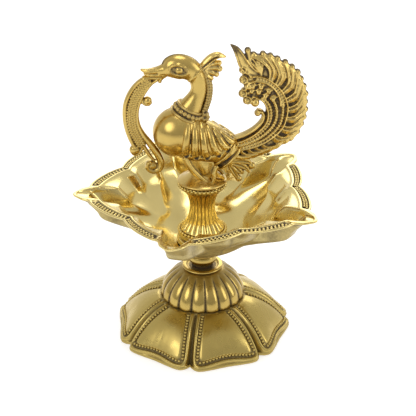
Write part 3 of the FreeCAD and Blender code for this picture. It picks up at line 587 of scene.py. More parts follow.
def build_bowl():
    """Five-spout bowl: wall outside, rim band with its bead channel, wall inside and floor, as one skin."""
    angle = bowl_columns()
    away = away_from_spout(angle)
    outer = rim_radius(away, OUTER_RIM)
    inner = rim_radius(away, INNER_RIM)
    # Patina and painted shade in the folds beside each spout and midway between spouts.
    crease = np.exp(-((away - MIDWAY) / 1.5) ** 2) + 0.7 * np.exp(-((away - 9) / 1.5) ** 2)
    rows = []
    # Outside: darker all over, more in the folds, and most just under the rim, where painted shade falls
    # under the rim's overhang.
    for z in np.concatenate([np.linspace(BOWL_FOOT_Z, 86, 44), np.linspace(86.5, RIM_Z - 1.3, 10)]):
        rows.append((bowl_wall(z, away, outer - 0.5, RIM_Z - 1.3), z,
                     0.42 + 0.25 * crease + 0.25 * smoothstep(FLANGE_Z, RIM_Z, z)))
    rows.append((outer - 0.1, RIM_Z - 1.0, 0.2))
    beaded = smoothstep(8.4, 10.4, away)
    for share, height, dark in RIM_BAND:
        amount = beaded if 0.2 < share < 0.75 else 1.0
        rows.append((outer + (inner - outer) * share, RIM_Z + height * amount, dark * amount))
    floor_z = span("bowl_gasket_upper")[0][2]
    # Inside: the upper folds are darkened with patina and painted shade.
    for z in np.concatenate([np.linspace(RIM_Z - 1.0, 86, 14), np.linspace(85.4, floor_z, 50)]):
        radius = bowl_wall(z - 1.4, away, inner + BOWL_WALL, RIM_Z - 2.2) - BOWL_WALL
        rows.append((radius, z, 0.3 * crease * smoothstep(72.0, 86.0, z)))
    # Floor and bore darkened as painted shade.
    for r, z in [(9.0, floor_z), (BOWL_BORE_R, floor_z), (BOWL_BORE_R, BOWL_FOOT_Z), (9.0, BOWL_FOOT_Z)]:
        rows.append((r, z, 0.3))
    cast = ring_skin(rows, angle).join(rim_beads())
    return make_object("bowl_casting", cast, bowl_brass, "stem", ["bowl"])


# ------------------------------------------------------------------ pillar and plinth
REEDS = 20
RING_BEADS = 36


def build_pillar():
    """Waisted, reeded pillar between two bead rings, with a blind bore at each end."""
    low, high = span("pillar")
    foot, top = low[2], high[2]
    waist_low, waist_high = foot + 8.6, top - 2.6
    foot_bore_top, head_bore_foot = span("stem_stud")[1][2] + 1, span("bird_stud")[0][2] - 1
    waist = curve_through([(12.9, waist_low), (11.3, waist_low + 2.0), (9.0, waist_low + 5.4),
                           (7.6, waist_low + 10.2), (7.3, waist_low + 14.0), (7.7, waist_high - 8.6),
                           (9.0, waist_high - 4.6), (11.2, waist_high - 1.8), (12.9, waist_high)], 9)
    corners = [(BORE_R, foot), (14.9, foot, 0.3), (14.9, foot + 2.6, 0.5), (13.2, foot + 3.2, 0.3),
               (13.1, foot + 3.9, 0.2), (14.3, foot + 4.4, 0.5), (14.2, foot + 6.4, 0.6),
               (13.3, foot + 7.2, 0.3), (5.0, foot + 8.0)]
    lower = round_outline(corners, 0.5)[:-8]
    lower = lower[lower[:, 1] <= foot + 7.6]
    upper = [(13.0, top - 1.9), (13.1, top - 0.4), (12.8, top), (9.0, top), (BORE_R, top),
             (BORE_R, head_bore_foot), (0.02, head_bore_foot), (0.02, foot_bore_top),
             (BORE_R, foot_bore_top)]

    def reeds(r, z, a):
        wave = np.abs(np.cos(a * REEDS / 2))
        share = smoothstep(waist_low - 0.2, waist_low + 1.6, z)
        share = share * smoothstep(waist_high + 0.2, waist_high - 1.6, z) * (r > 6.5)
        height = (wave ** 0.6 - 0.9) * (0.55 + 0.055 * r)
        # Reed and ring grooves darkened with patina and painted shade.
        dark = 0.7 * smoothstep(0.42, 0.06, wave) * share
        for groove_z, depth, width in ((foot + 3.5, 0.9, 0.45), (waist_low - 0.6, 0.7, 0.6),
                                       (waist_high + 0.4, 0.7, 0.5)):
            dark = np.maximum(dark, depth * np.exp(-((z - groove_z) / width) ** 2) * (r > 10))
        return r + height * share, dark

    cast = turned(np.vstack([lower, waist, upper]), REEDS * 14, reeds)
    turn = np.arange(RING_BEADS) * 2 * np.pi / RING_BEADS
    for z, radius in [(waist_low - 1.0, 13.6), (top - 1.0, 13.4)]:
        ring = np.stack([radius * np.cos(turn), radius * np.sin(turn), np.full(RING_BEADS, z)], -1)
        cast.join(beads(ring, 1.0, 0.5))
    return make_object("pillar_casting", cast, pillar_brass, "pillar", ["pillar"])


def build_plinth():
    """Flared plinth under the bird."""
    low, high = span("bird_plinth")
    foot = low[2]
    cone = curve_through([(13.9, foot + 1.2), (12.6, foot + 2.0), (10.2, foot + 3.3), (8.0, foot + 5.0),
                          (6.4, foot + 7.2), (5.7, foot + 10.0), (5.6, foot + 14.0)], 8)
    outline = np.vstack([[(3.0, foot), (13.4, foot), (14.1, foot + 0.35), (14.2, foot + 0.8)], cone,
                         [(5.6, high[2]), (3.0, high[2])]])

    def shade(r, z, a):
        # Painted shade along the foot where the plinth stands on the pillar.
        return r, 0.6 * smoothstep(foot + 0.5, foot, z)

    cast = turned(outline, 160, shade)
    return make_object("plinth_casting", cast, cast_brass, "bird", ["bird_plinth"])


# ------------------------------------------------------------------ cast detail: tubes, leaves and plates
def spread(values, share):
    """Reads one value, or a list of values spread evenly along a path, at each share of the way."""
    values = np.atleast_1d(values)
    return np.interp(share, np.linspace(0, 1, len(values)), values)


def tube(path, width, depth=None, across=0.0, steps=6, sides=12):
    """A rounded strand along an (x, z) path.  width is across the path and depth along Y, both as half
    sizes that may be a list spread along the path; across shifts it along Y."""
    line = curve_through(path, steps)
    share = np.linspace(0, 1, len(line))
    wide, shift = spread(width, share), spread(across, share)
    deep = wide if depth is None else spread(depth, share)
    heading = np.gradient(line, axis=0)
    heading /= np.linalg.norm(heading, axis=1)[:, None] + 1e-9
    normal = np.stack([-heading[:, 1], heading[:, 0]], -1)
    turn = np.linspace(0, 2 * np.pi, sides, endpoint=False)
    rows = []
    for k in range(len(line)):
        side = wide[k] * np.cos(turn)
        rows.append(np.stack([line[k, 0] + normal[k, 0] * side, shift[k] + deep[k] * np.sin(turn),
                              line[k, 1] + normal[k, 1] * side], -1))
    for k, way in ((0, -1), (len(line) - 1, 1)):
        nose = line[k] + heading[k] * way * wide[k] * 0.6
        rows.append([[nose[0], shift[k], nose[1]]])
    base = (len(line) - 1) * sides
    first, last = base + sides, base + sides + 1
    ring = np.arange(sides)
    beside = (ring + 1) % sides
    caps = np.vstack([np.stack([beside, ring, np.full(sides, first)], -1),
                      np.stack([base + ring, base + beside, np.full(sides, last)], -1)])
    return Cast().add(np.concatenate(rows), [grid_faces(len(line), sides, False, True), caps])


def round_ball(x, z, radius, y=0.0, squash=1.0):
    """A smooth ball, squashed along Y."""
    points, quads, caps = unit_ball(12, 20)
    return Cast().add(points * [radius, radius * squash, radius] + [x, y, z], [quads, caps])


def ball_pair(x, z, radius, y, squash=1.0):
    """The same ball at -y and y."""
    return round_ball(x, z, radius, -y, squash).join(round_ball(x, z, radius, y, squash))


def plate(outline, half_depth, middle_y=0.0):
    """A flat cast web: a closed (x, z) outline with rounded rims, half_depth to each side."""
    line = np.asarray(outline, float)
    centre = line.mean(0)
    rows = []
    for shrink, y in ((0.9, -half_depth), (0.985, -half_depth * 0.75), (1.0, 0.0), (0.985, half_depth * 0.75),
                      (0.9, half_depth)):
        ring = centre + (line - centre) * shrink
        rows.append(np.stack([ring[:, 0], np.full(len(line), middle_y + y), ring[:, 1]], -1))
    points = np.concatenate(rows)
    count = len(line)
    front = np.arange(count)
    faces = [grid_faces(5, count, False, True), front[None, ::-1], (front + 4 * count)[None]]
    return Cast().add(points, faces)


def melt(cast, voxel, smooth):
    """Fuses overlapping closed shells into one skin, then eases it; returns points, edges and faces."""
    mesh = bpy.data.meshes.new("melt")
    points = np.concatenate(cast.points)
    faces = [face for block in cast.faces for face in block.tolist()]
    mesh.from_pydata(points.tolist(), [], faces)
    mesh.update()
    holder = bpy.data.objects.new("melt", mesh)
    bpy.context.scene.collection.objects.link(holder)
    remesh = holder.modifiers.new("skin", "REMESH")
    remesh.mode = "VOXEL"
    remesh.voxel_size = voxel
    graph = bpy.context.evaluated_depsgraph_get()
    skin = holder.evaluated_get(graph).to_mesh()
    points = np.zeros(len(skin.vertices) * 3)
    skin.vertices.foreach_get("co", points)
    points = points.reshape(-1, 3)
    edges = np.zeros(len(skin.edges) * 2, int)
    skin.edges.foreach_get("vertices", edges)
    edges = edges.reshape(-1, 2)
    quads = np.array([list(p.vertices) for p in skin.polygons if len(p.vertices) == 4])
    triangles = np.array([list(p.vertices) for p in skin.polygons if len(p.vertices) == 3]).reshape(-1, 3)
    holder.evaluated_get(graph).to_mesh_clear()
    bpy.data.objects.remove(holder)
    bpy.data.meshes.remove(mesh)
    for _ in range(smooth):
        points = points + 0.5 * (neighbour_mean(points, edges) - points)
    blocks = [block for block in (quads, triangles) if len(block)]
    return points, edges, blocks


def neighbour_mean(values, edges):
    """Mean of the neighbouring vertices' values."""
    total = np.zeros_like(values)
    count = np.bincount(edges.ravel(), minlength=len(values)).astype(float)
    for k in range(values.shape[1]):
        total[:, k] = (np.bincount(edges[:, 0], values[edges[:, 1], k], len(values))
                       + np.bincount(edges[:, 1], values[edges[:, 0], k], len(values)))
    return total / np.maximum(count, 1)[:, None]


def outward(points, blocks):
    """Vertex normals of a closed skin."""
    normal = np.zeros_like(points)
    for block in blocks:
        a, b, c = points[block[:, 0]], points[block[:, 1]], points[block[:, 2]]
        face = np.cross(b - a, c - a)
        for k in range(block.shape[1]):
            for axis in range(3):
                normal[:, axis] += np.bincount(block[:, k], face[:, axis], len(points))
    return normal / (np.linalg.norm(normal, axis=1)[:, None] + 1e-12)


def sunk_parts(points, edges, blocks, reach, depth):
    """How far each vertex lies below its surroundings, as 0 to 1: patina that collects in the hollows, and
    painted shade there.
    """
    normal = outward(points, blocks)
    around = points
    for _ in range(reach):
        around = neighbour_mean(around, edges)
    below = np.einsum("ij,ij->i", around - points, normal)
    shade = smoothstep(0.0, depth, below)[:, None]
    return (0.5 * shade + 0.5 * neighbour_mean(shade, edges))[:, 0]


def cast_piece(name, cast, nodes, voxel, smooth, depth=0.16, reach=5, material=cast_brass, base_dark=0.0):
    """Fuses, shades and places one of the bird's castings."""
    points, edges, blocks = melt(cast, voxel, smooth)
    dark = np.clip(sunk_parts(points, edges, blocks, reach, depth) + base_dark, 0, 1)
    return make_object(name, Cast().add(points, blocks, dark), material, "bird", nodes)


# ------------------------------------------------------------------ bird: body, neck and head
def oval(x, z, lean, wide, deep):
    """Section ring of the bird; lean is the direction of travel in degrees up from +X."""
    turn = math.radians(lean)
    angle = np.linspace(0, 2 * np.pi, 40, endpoint=False)
    across = wide * np.cos(angle)
    return np.stack([x - across * math.sin(turn), deep * np.sin(angle), z + across * math.cos(turn)], -1)


def loft(sections, steps=5):
    """Closed skin through a list of oval sections."""
    smooth = curve_through(sections, steps)
    rows = [oval(*section) for section in smooth]
    count = len(rows[0])
    points = np.concatenate(rows)
    ring = np.arange(count)
    last = (len(rows) - 1) * count
    faces = [grid_faces(len(rows), count, False, True), ring[None, ::-1], (ring + last)[None]]
    return Cast().add(points, faces)


BREAST_X, BREAST_Z, BREAST_R, BREAST_HALF_Y = -13.5, 128, 14.5, 13.5
EYE_X, EYE_Z = -12.9, 166.7
REAR = [(-9.0, 126.0, 160, 13.6, 12.9), (-3.0, 123.0, 155, 13.0, 12.4), (4.5, 120.0, 150, 11.8, 11.0),
        (11.0, 116.5, 140, 10.0, 9.0), (15.5, 112.7, 135, 8.5, 7.0)]
NECK = [(-8.6, 137.5, 62, 8.6, 8.6), (-7.4, 141.5, 62, 7.3, 7.3), (-4.5, 146.5, 65, 5.6, 5.6),
        (-2.0, 152.0, 78, 4.7, 4.8), (-1.8, 157.0, 95, 4.8, 4.8), (-3.4, 161.5, 120, 5.4, 5.0),
        (-7.5, 165.6, 150, 6.6, 5.6), (-13.0, 167.0, 178, 7.2, 5.8), (-18.0, 166.7, 188, 5.8, 5.0),
        (-21.4, 165.2, 190, 3.3, 3.6), (-24.0, 164.1, 187, 2.1, 3.2)]
UPPER_BILL = [(-21.0, 166.0, 190, 2.9, 3.4), (-25.0, 165.3, 187, 1.8, 3.1), (-29.5, 164.8, 178, 1.35, 2.8),
              (-32.2, 165.3, 165, 0.95, 2.0), (-33.8, 166.0, 155, 0.45, 1.1)]
LOWER_BILL = [(-20.0, 163.0, 184, 2.4, 3.0), (-25.0, 162.9, 181, 1.45, 2.7), (-29.5, 162.9, 176, 1.1, 2.2),
              (-32.2, 163.6, 166, 0.6, 1.2)]
UPPER_LID = [(-18.3, 168.0), (-16.2, 169.4), (-13.0, 169.9), (-10.0, 168.2), (-7.6, 164.7)]
LOWER_LID = [(-18.3, 168.0), (-16.6, 165.3), (-13.4, 163.9), (-10.4, 163.7), (-7.6, 164.7)]


def section_place(section, x, z):
    """How far a side place lies across and ahead of a section's centre."""
    turn = math.radians(section[2])
    x, z = x - section[0], z - section[1]
    return -x * math.sin(turn) + z * math.cos(turn), x * math.cos(turn) + z * math.sin(turn)


def head_half_depth(x, z):
    """Half depth of the head's skin along Y at a side place, read from the sections."""
    best = 0.0
    for section in curve_through(NECK, 6):
        across, ahead = section_place(section, x, z)
        room = 1 - (across / section[3]) ** 2 - (ahead / 3.0) ** 2
        if room > 0:
            best = max(best, section[4] * math.sqrt(room))
    return best


def on_head(path, radius):
    """A raised line on both cheeks that follows the head's skin."""
    cast = Cast()
    line = curve_through(path, 5)
    depth = np.array([head_half_depth(x, z) for x, z in line]) + 0.2
    for side in (-1, 1):
        cast.join(tube(line, radius, None, side * depth, 1, 8))
    return cast


def around_eye(points, half_long, half_high, centre_z):
    """Which points lie inside an oval round the eye, on either cheek."""
    oval_share = ((points[:, 0] - EYE_X) / half_long) ** 2 + ((points[:, 2] - centre_z) / half_high) ** 2
    return (oval_share < 1) & (abs(points[:, 1]) > 3)


def build_body():
    """Breast, neck, head and bill with the eyes, cheek strips, nostril bumps and mouth."""
    cast = loft(REAR)
    points, quads, caps = unit_ball(36, 56)
    cast.add(points * [BREAST_R, BREAST_HALF_Y, BREAST_R] + [BREAST_X, 0, BREAST_Z], [quads, caps])
    for sections in (NECK, UPPER_BILL, LOWER_BILL):
        cast.join(loft(sections))
    cast.join(on_head(UPPER_LID, [0.5, 0.75, 0.8, 0.7, 0.4]))
    cast.join(on_head(LOWER_LID, [0.45, 0.6, 0.65, 0.6, 0.35]))
    eye_y = head_half_depth(EYE_X, 166.9)
    cast.join(ball_pair(EYE_X, EYE_Z, 2.15, eye_y - 0.7, 0.85))
    strip = along(curve_through([(0.6, 167.2), (-2.6, 164.4), (-4.9, 162.0), (-7.8, 159.0)], 6), 1.35)
    for side in (-1, 1):
        for x, z in strip:
            cast.join(round_ball(x, z, 0.72, side * (head_half_depth(x, z) - 0.05)))
        for k in range(6):
            cast.join(round_ball(-22.6 - 1.5 * k, 166.9 - 0.28 * k, 0.62 - 0.04 * k, side * (2.2 - 0.2 * k)))
    crown_seam = [(-22.5, 167.6), (-20.4, 171.3), (-16.8, 173.4), (-12.6, 173.9), (-8.0, 172.9),
                  (-3.0, 170.0)]
    cast.join(tube(crown_seam, [0.4, 0.5, 0.55, 0.55, 0.5, 0.4]))
    cast.join(tube([(-22.0, 161.2), (-23.2, 159.6), (-23.3, 158.0)], [1.5, 1.2, 1.1], [2.0, 1.5, 1.2]))
    points, edges, blocks = melt(cast, 0.36, 3)
    dark = sunk_parts(points, edges, blocks, 6, 0.2)
    socket = around_eye(points, 4.9, 2.4, EYE_Z)
    lens = around_eye(points, 1.9, 1.7, EYE_Z + 0.1)
    crown = smoothstep(1.1, 0.5, abs(points[:, 1])) * (points[:, 2] > 167) * (points[:, 0] > -22)
    # Painted shade in the eye socket round the lens.
    dark = np.clip(dark + 0.5 * (socket & ~lens) + 0.7 * crown, 0, 1)
    whole = Cast().add(points, blocks, dark)
    return make_object("bird_casting", whole, bird_brass, "bird", ["bird_body"])


# ------------------------------------------------------------------ bird: necklace, mane and crest
def ring_frame(centre, lean):
    """Across and along directions of a ring worn round the neck."""
    axis = np.array([math.cos(math.radians(lean)), 0, math.sin(math.radians(lean))])
    across = np.array([-axis[2], 0, axis[0]])
    return np.array(centre, float), axis, across


def hoop(centre, lean, radius, thick, shift):
    """A round wire ring about a leaning axis, shifted along that axis."""
    steps, sides = 120, 10
    middle, axis, across = ring_frame(centre, lean)
    turn = np.linspace(0, 2 * np.pi, steps, endpoint=False)
    small = np.linspace(0, 2 * np.pi, sides, endpoint=False)
    out = np.cos(turn)[:, None] * across + np.sin(turn)[:, None] * np.array([0, 1, 0])
    points = (middle + axis * shift + out[:, None, :] * (radius + thick * np.cos(small))[None, :, None]
              + axis * (thick * np.sin(small))[None, :, None])
    return Cast().add(points, [grid_faces(steps, sides, True, True)])


def build_necklace():
    """A row of balls between two wire rings, on a band that fills the gap behind them."""
    centre, lean = (-7.9, 0, 140.8), 62
    cast = hoop(centre, lean, 8.9, 0.8, -2.9).join(hoop(centre, lean, 7.2, 0.85, 2.3))
    middle, axis, across = ring_frame(centre, lean)
    count = 20
    for k in range(count):
        turn = 2 * math.pi * k / count
        out = math.cos(turn) * across + math.sin(turn) * np.array([0, 1, 0])
        place = middle + axis * -0.25 + out * 7.9
        cast.join(round_ball(place[0], place[2], 1.3, place[1]))
    band = hoop(centre, lean, 7.0, 1.3, -1.5).join(hoop(centre, lean, 6.5, 1.3, 0.9))
    return cast_piece("necklace_casting", cast.join(band), ["necklace"], 0.26, 1, 0.12, 7, base_dark=0.22)


def build_mane():
    """Knobbed strip down the back of the neck, ending in a flower-shaped knot."""
    line = curve_through([(-1.0, 167.6), (1.6, 163.8), (2.8, 159.5), (3.7, 154.5), (3.3, 149.0),
                          (2.2, 144.5), (0.6, 140.2)], 8)
    cast = tube(line[::4], 1.9, 2.0)
    for x, z in along(line, 1.7):
        cast.join(ball_pair(x - 0.5, z, 0.9, 2.0))
        cast.join(round_ball(x + 1.6, z - 0.3, 0.95, 0.0, 1.6))
    knot = round_ball(1.1, 137.4, 2.9)
    for turn in np.radians(np.arange(0, 360, 60)):
        knot.join(ball_pair(1.4 + 1.7 * math.cos(turn), 137.4 + 1.7 * math.sin(turn), 1.2, 2.2))
    return cast_piece("mane_casting", cast.join(knot), ["neck_mane"], 0.28, 1, 0.12, 7, base_dark=0.35)


CREST_ROOT = (-0.5, 166.4)
CREST_CURLS = [((6.0, 168.6), (9.6, 168.6), 1.6), ((6.2, 166.2), (9.9, 165.2), 1.75),
               ((5.0, 163.6), (8.2, 162.0), 1.6), ((3.0, 161.6), (5.4, 159.6), 1.35)]
CREST_WEB = [(-0.5, 168.0), (3.0, 169.6), (7.0, 170.4), (10.0, 168.4), (9.8, 165.0), (8.0, 162.2),
             (5.0, 160.0), (1.6, 161.4)]


def build_crest():
    """Swept crest: one long blade over four curls, on a thin web."""
    x0, z0 = CREST_ROOT
    cast = tube([CREST_ROOT, (1.5, 169.0), (5.0, 172.2), (9.0, 173.6), (13.2, 171.9)],
                [1.3, 1.7, 1.7, 1.4, 0.5], [1.8, 2.2, 2.2, 1.8, 0.6])
    for dx, dz in ((0.3, 1.0), (0.9, -0.9)):
        vein = [(x0 + dx, z0 + dz), (4.8 + dx, 171.2 + dz), (9.0 + dx * 0.5, 172.6 + dz * 0.6), (12.6, 171.7)]
        cast.join(tube(vein, [0.4, 0.5, 0.45, 0.3], [2.6, 2.9, 2.4, 0.9]))
    for middle, tip, size in CREST_CURLS:
        cast.join(tube([CREST_ROOT, (2.4, 0.55 * z0 + 0.45 * middle[1]), middle, tip],
                       [1.2, 1.7, 1.9, 1.5], [1.7, 2.1, 2.3, 1.9]))
        cast.join(round_ball(tip[0] - 0.2, tip[1], size, 0, 1.35))
        vein = [(x0 + 1, z0 - 1), middle, (tip[0] - 0.4, tip[1] + 0.5)]
        for y in (-1.9, 1.9):
            cast.join(tube(vein, [0.3, 0.45, 0.4], None, [y * 0.8, y * 1.15, y]))
    cast.join(plate(np.array(CREST_WEB), 1.3))
    return cast_piece("crest_casting", cast, ["crest"], 0.3, 1, 0.12)


# ------------------------------------------------------------------ bird: wings, rear band and legs
TORSO_STEPS = curve_through(REAR, 8)


def torso_skin_y(x, z, extra):
    """Half depth along Y of the torso grown by extra, from the breast ball and the rear sections."""
    best = 0.0
    room = 1 - ((x - BREAST_X) ** 2 + (z - BREAST_Z) ** 2) / (BREAST_R + extra) ** 2
    if room > 0:
        best = 0.93 * (BREAST_R + extra) * math.sqrt(room)
    for section in TORSO_STEPS:
        across, ahead = section_place(section, x, z)
        room = 1 - (across / (section[3] + extra)) ** 2
        if room > 0 and abs(ahead) < 1.3:
            best = max(best, (section[4] + extra) * math.sqrt(room))
    return best


WING_PLEATS = [
    [(-8.2, 137.0), (-9.2, 132.0), (-9.9, 126.0), (-10.2, 121.4), (-9.6, 118.8)],
    [(-4.8, 136.8), (-5.0, 131.5), (-5.0, 125.5), (-4.8, 120.2), (-4.0, 117.4)],
    [(-1.4, 135.8), (-0.6, 130.6), (0.0, 125.0), (0.8, 119.9), (2.2, 117.0)],
    [(2.0, 133.6), (3.8, 129.4), (5.2, 124.6), (6.8, 120.4), (8.6, 118.0)],
    [(5.6, 131.2), (8.2, 127.8), (10.2, 124.4), (12.2, 121.6), (13.8, 120.0)],
    [(9.6, 128.8), (12.4, 126.2), (14.8, 124.0), (16.4, 122.6), (17.8, 121.6)],
]


def build_wing(name, node, side):
    """Pleated wing: broad rounded folds that fan out from the shoulder to a scalloped hem, with dark spots of
    painted shade where it looks pierced.
    """
    cast = Cast()
    for path in WING_PLEATS:
        line = curve_through(path, 5)
        depth = np.array([torso_skin_y(x, z, -0.5) for x, z in line])
        depth[:3] = np.minimum(depth[:3], depth[3])
        cast.join(tube(line, [1.5, 2.0, 2.25, 2.4, 2.2], [1.7, 2.3, 2.6, 2.5, 1.7], side * depth, 1, 16))
        foot_x, foot_z = line[-1]
        y = side * torso_skin_y(foot_x, foot_z - 0.4, 0.2)
        scallop = [(foot_x - 2.3, foot_z + 0.4), (foot_x - 1.2, foot_z - 1.5), (foot_x + 1.2, foot_z - 1.5),
                   (foot_x + 2.3, foot_z + 0.6)]
        cast.join(tube(scallop, 0.55, 0.8, y))
    hem = curve_through([(-12.0, 120.4), (-9.4, 118.0), (-4.3, 116.6), (1.8, 116.0), (7.0, 117.2),
                         (12.0, 119.4), (18.0, 122.6)], 6)
    depth = np.array([torso_skin_y(x, z, 0.0) for x, z in hem])
    cast.join(tube(hem, 0.8, 1.0, side * depth, 1, 12))
    spine = curve_through([(2.5, 132.2), (7.0, 129.6), (12.0, 127.2), (16.6, 124.4), (18.6, 122.0)], 5)
    cast.join(tube(spine, [1.1, 1.4, 1.5, 1.3, 1.0], 1.6, side * 1.8, 1, 12))
    for x, z in spine[2:-3:3]:
        cast.join(round_ball(x, z + 0.4, 1.2, side * 2.4, 1.3))
    points, edges, blocks = melt(cast, 0.3, 2)
    middle_gap = 0.05
    points[:, 1] = np.where(points[:, 1] * side < middle_gap, side * middle_gap, points[:, 1])
    dark = sunk_parts(points, edges, blocks, 7, 0.1)
    # Painted shade: a dark spot under the foot of each of the first five pleats, standing in for a piercing.
    for path in WING_PLEATS[:5]:
        x, z = path[-1]
        near = np.hypot(points[:, 0] - x, (points[:, 2] - z + 0.9) * 1.3)
        dark = np.maximum(dark, smoothstep(1.5, 0.8, near) * (points[:, 1] * side > 3))
    return make_object(name, Cast().add(points, blocks, dark), bird_brass, "bird", [node])


BAND_STEPS = 96
BAND_CENTRE = [13.8, 0, 113.7]


def band_loop(x, z, half_across, half_deep):
    """Oval round the bird's flat rear end, which leans at 45 degrees."""
    turn = np.linspace(0, 2 * np.pi, BAND_STEPS, endpoint=False)[:, None]
    across = np.array([1, 0, 1]) / math.sqrt(2)
    across_part = np.cos(turn) * across * half_across
    return np.array([x, 0, z]) + across_part + np.sin(turn) * np.array([0, half_deep, 0])


def build_band():
    """Two rails round the bird's rear end, with the core between them darkened as painted shade in the slot.
    """
    cast = Cast()
    axis = np.array([1, 0, -1]) / math.sqrt(2)
    across = np.array([1, 0, 1]) / math.sqrt(2)
    rail, sides = 0.85, 12
    small = np.linspace(0, 2 * np.pi, sides, endpoint=False)
    for ring in (band_loop(12.3, 115.2, 10.0, 8.9), band_loop(15.4, 112.1, 9.4, 8.0)):
        unit = ring - ring.mean(0)
        unit /= np.linalg.norm(unit, axis=1)[:, None]
        wire = ring[:, None, :] + unit[:, None, :] * (rail * np.cos(small))[None, :, None]
        cast.add(wire + axis * (rail * np.sin(small))[None, :, None],
                 [grid_faces(BAND_STEPS, sides, True, True)])
    core = np.concatenate([band_loop(12.2, 115.3, 9.2, 8.1), band_loop(15.5, 112.0, 8.6, 7.3)])
    ring = np.arange(BAND_STEPS)
    cast.add(core, [grid_faces(2, BAND_STEPS, False, True), ring[None, ::-1], (ring + BAND_STEPS)[None]])
    points, edges, blocks = melt(cast, 0.32, 2)
    dark = sunk_parts(points, edges, blocks, 6, 0.2)
    # Painted shade: the core between the rails darkened to read as a slot.
    place = points - BAND_CENTRE
    inside = np.hypot(place @ across / 9.8, points[:, 1] / 8.6) < 1.0
    dark = np.maximum(dark, 0.95 * smoothstep(1.5, 1.1, abs(place @ axis)) * inside)
    return make_object("rear_band_casting", Cast().add(points, blocks, dark), bird_brass, "bird",
                       ["rear_band"])


LEG_OUTER = [(-10.0, 7.8, 115.2), (-7.6, 8.3, 109.6), (-3.4, 8.2, 104.2), (1.0, 8.4, 100.6),
             (4.6, 8.8, 98.9)]
LEG_INNER = [(7.6, 7.6, 109.4), (6.2, 8.2, 105.2), (6.2, 8.6, 102.0), (4.6, 8.8, 98.9)]
LEG_SHIN = [(-1.5, 4.4, 114.0), (0.2, 5.6, 109.0), (1.6, 6.4, 104.8)]
LEG_DRAPE = [(6.6, 5.8, 106.2), (8.4, 5.2, 103.0), (10.6, 4.2, 101.2), (12.4, 3.4, 99.2)]
LEG_WEB = [(-9.6, 115.0), (-6.6, 109.0), (-2.6, 104.4), (3.8, 99.8), (5.4, 103.6), (7.0, 109.6),
           (6.0, 112.0), (-2.0, 114.0)]


def build_leg(name, node, side):
    """Hanging V of two bordered blades, its tip lying against the plinth."""
    cast = Cast()

    def blade(path, width, depth, sides=12):
        line = curve_through(path, 5)
        return cast.join(tube(line[:, [0, 2]], width, depth, side * line[:, 1], 1, sides))

    blade(LEG_OUTER, [1.7, 1.8, 1.7, 1.3, 0.8], 1.1)
    blade(LEG_INNER, [1.5, 1.5, 1.2, 0.8], 1.1)
    cast.join(plate(np.array(LEG_WEB), 1.1, middle_y=side * 6.0))
    blade(LEG_SHIN, [4.2, 3.6, 2.4], [3.2, 2.6, 1.8], 16)
    blade(LEG_DRAPE, [1.0, 1.4, 1.3, 0.7], [1.3, 1.2, 1.0, 0.6])
    return cast_piece(name, cast, [node], 0.3, 2, 0.15, 5, bird_brass)


# ------------------------------------------------------------------ bird: vine in the bill
VINE_OUTER = [(-29.0, 161.2), (-33.2, 159.9), (-37.0, 156.6), (-40.2, 152.0), (-42.4, 146.6), (-43.2, 141.0),
              (-43.0, 134.6), (-41.6, 128.0), (-39.4, 122.2), (-37.4, 118.8)]
VINE_MIDDLE = [(-28.6, 159.6), (-32.0, 157.0), (-36.0, 151.8), (-38.7, 145.4), (-39.6, 138.6), (-38.8, 131.2),
               (-36.2, 124.8), (-34.2, 120.6)]
VINE_INNER = [(-24.6, 159.8), (-28.0, 157.6), (-31.2, 153.4), (-33.8, 149.0), (-35.4, 144.6), (-36.3, 139.6),
              (-35.8, 133.4), (-33.4, 127.4), (-30.2, 122.4), (-27.0, 117.4), (-24.4, 112.8), (-23.4, 108.6),
              (-25.0, 105.2), (-28.4, 104.3), (-31.0, 106.4), (-30.8, 109.2), (-28.8, 109.6)]


VINE_SHOOTS = [
    ([(-33.4, 120.6), (-35.4, 116.2), (-37.6, 114.8), (-39.8, 115.8)], [1.2, 0.9, 0.8, 0.6], 1.8),
    ([(-35.0, 122.4), (-32.4, 118.6), (-29.6, 113.8), (-27.0, 110.6)], [1.5, 1.2, 1.1, 0.7], 1.7),
    ([(-32.6, 160.8), (-28.6, 161.2), (-24.6, 161.1), (-21.4, 161.4)], [1.3, 1.5, 1.4, 1.1], 2.0),
]
VINE_BALLS = [(-30.3, 147.5, 2.45, 1.0), (-38.2, 117.9, 3.1, 0.85), (-28.4, 107.7, 2.8, 0.85)]


def build_vine():
    """Scroll that hangs from the bill: two rails, a knobbed middle, curled shoots and round buds."""
    cast = tube(VINE_OUTER, [0.8, 1.0, 1.15, 1.25, 1.3, 1.3, 1.3, 1.3, 1.3, 1.2], 2.4)
    cast.join(tube(VINE_INNER,
                   [0.9, 1.0, 1.0, 1.0, 1.0, 1.1, 1.3, 1.7, 2.1, 2.2, 2.2, 2.1, 1.8, 1.6, 1.4, 1.3], 2.3))
    cast.join(tube(VINE_MIDDLE, [1.6, 2.4, 3.0, 3.2, 3.3, 3.3, 3.0, 2.2], 1.8))
    places = along(curve_through(VINE_MIDDLE, 8), 1.5)
    heading = np.gradient(places, axis=0)
    heading /= np.linalg.norm(heading, axis=1)[:, None]
    normal = np.stack([-heading[:, 1], heading[:, 0]], -1)
    for place, ahead, across in zip(places, heading, normal):
        for offset, step in ((-1.9, 0.0), (-0.65, 0.75), (0.65, 0.0), (1.9, 0.75)):
            x, z = place + across * offset + ahead * step
            cast.join(ball_pair(x, z, 0.66, 1.8, 0.9))
    cast.join(tube([(-33.9, 149.8), (-33.4, 147.4), (-31.8, 145.6), (-29.8, 145.4), (-28.4, 146.8)],
                   [1.2, 1.1, 1.0, 1.0, 1.0], 1.9))
    for x, z, size, squash in VINE_BALLS:
        cast.join(round_ball(x, z, size, 0, squash))
    for path, width, depth in VINE_SHOOTS:
        cast.join(tube(path, width, depth))
    return cast_piece("vine_casting", cast, ["beak_scroll"], 0.3, 1, 0.17, 7, bird_brass)


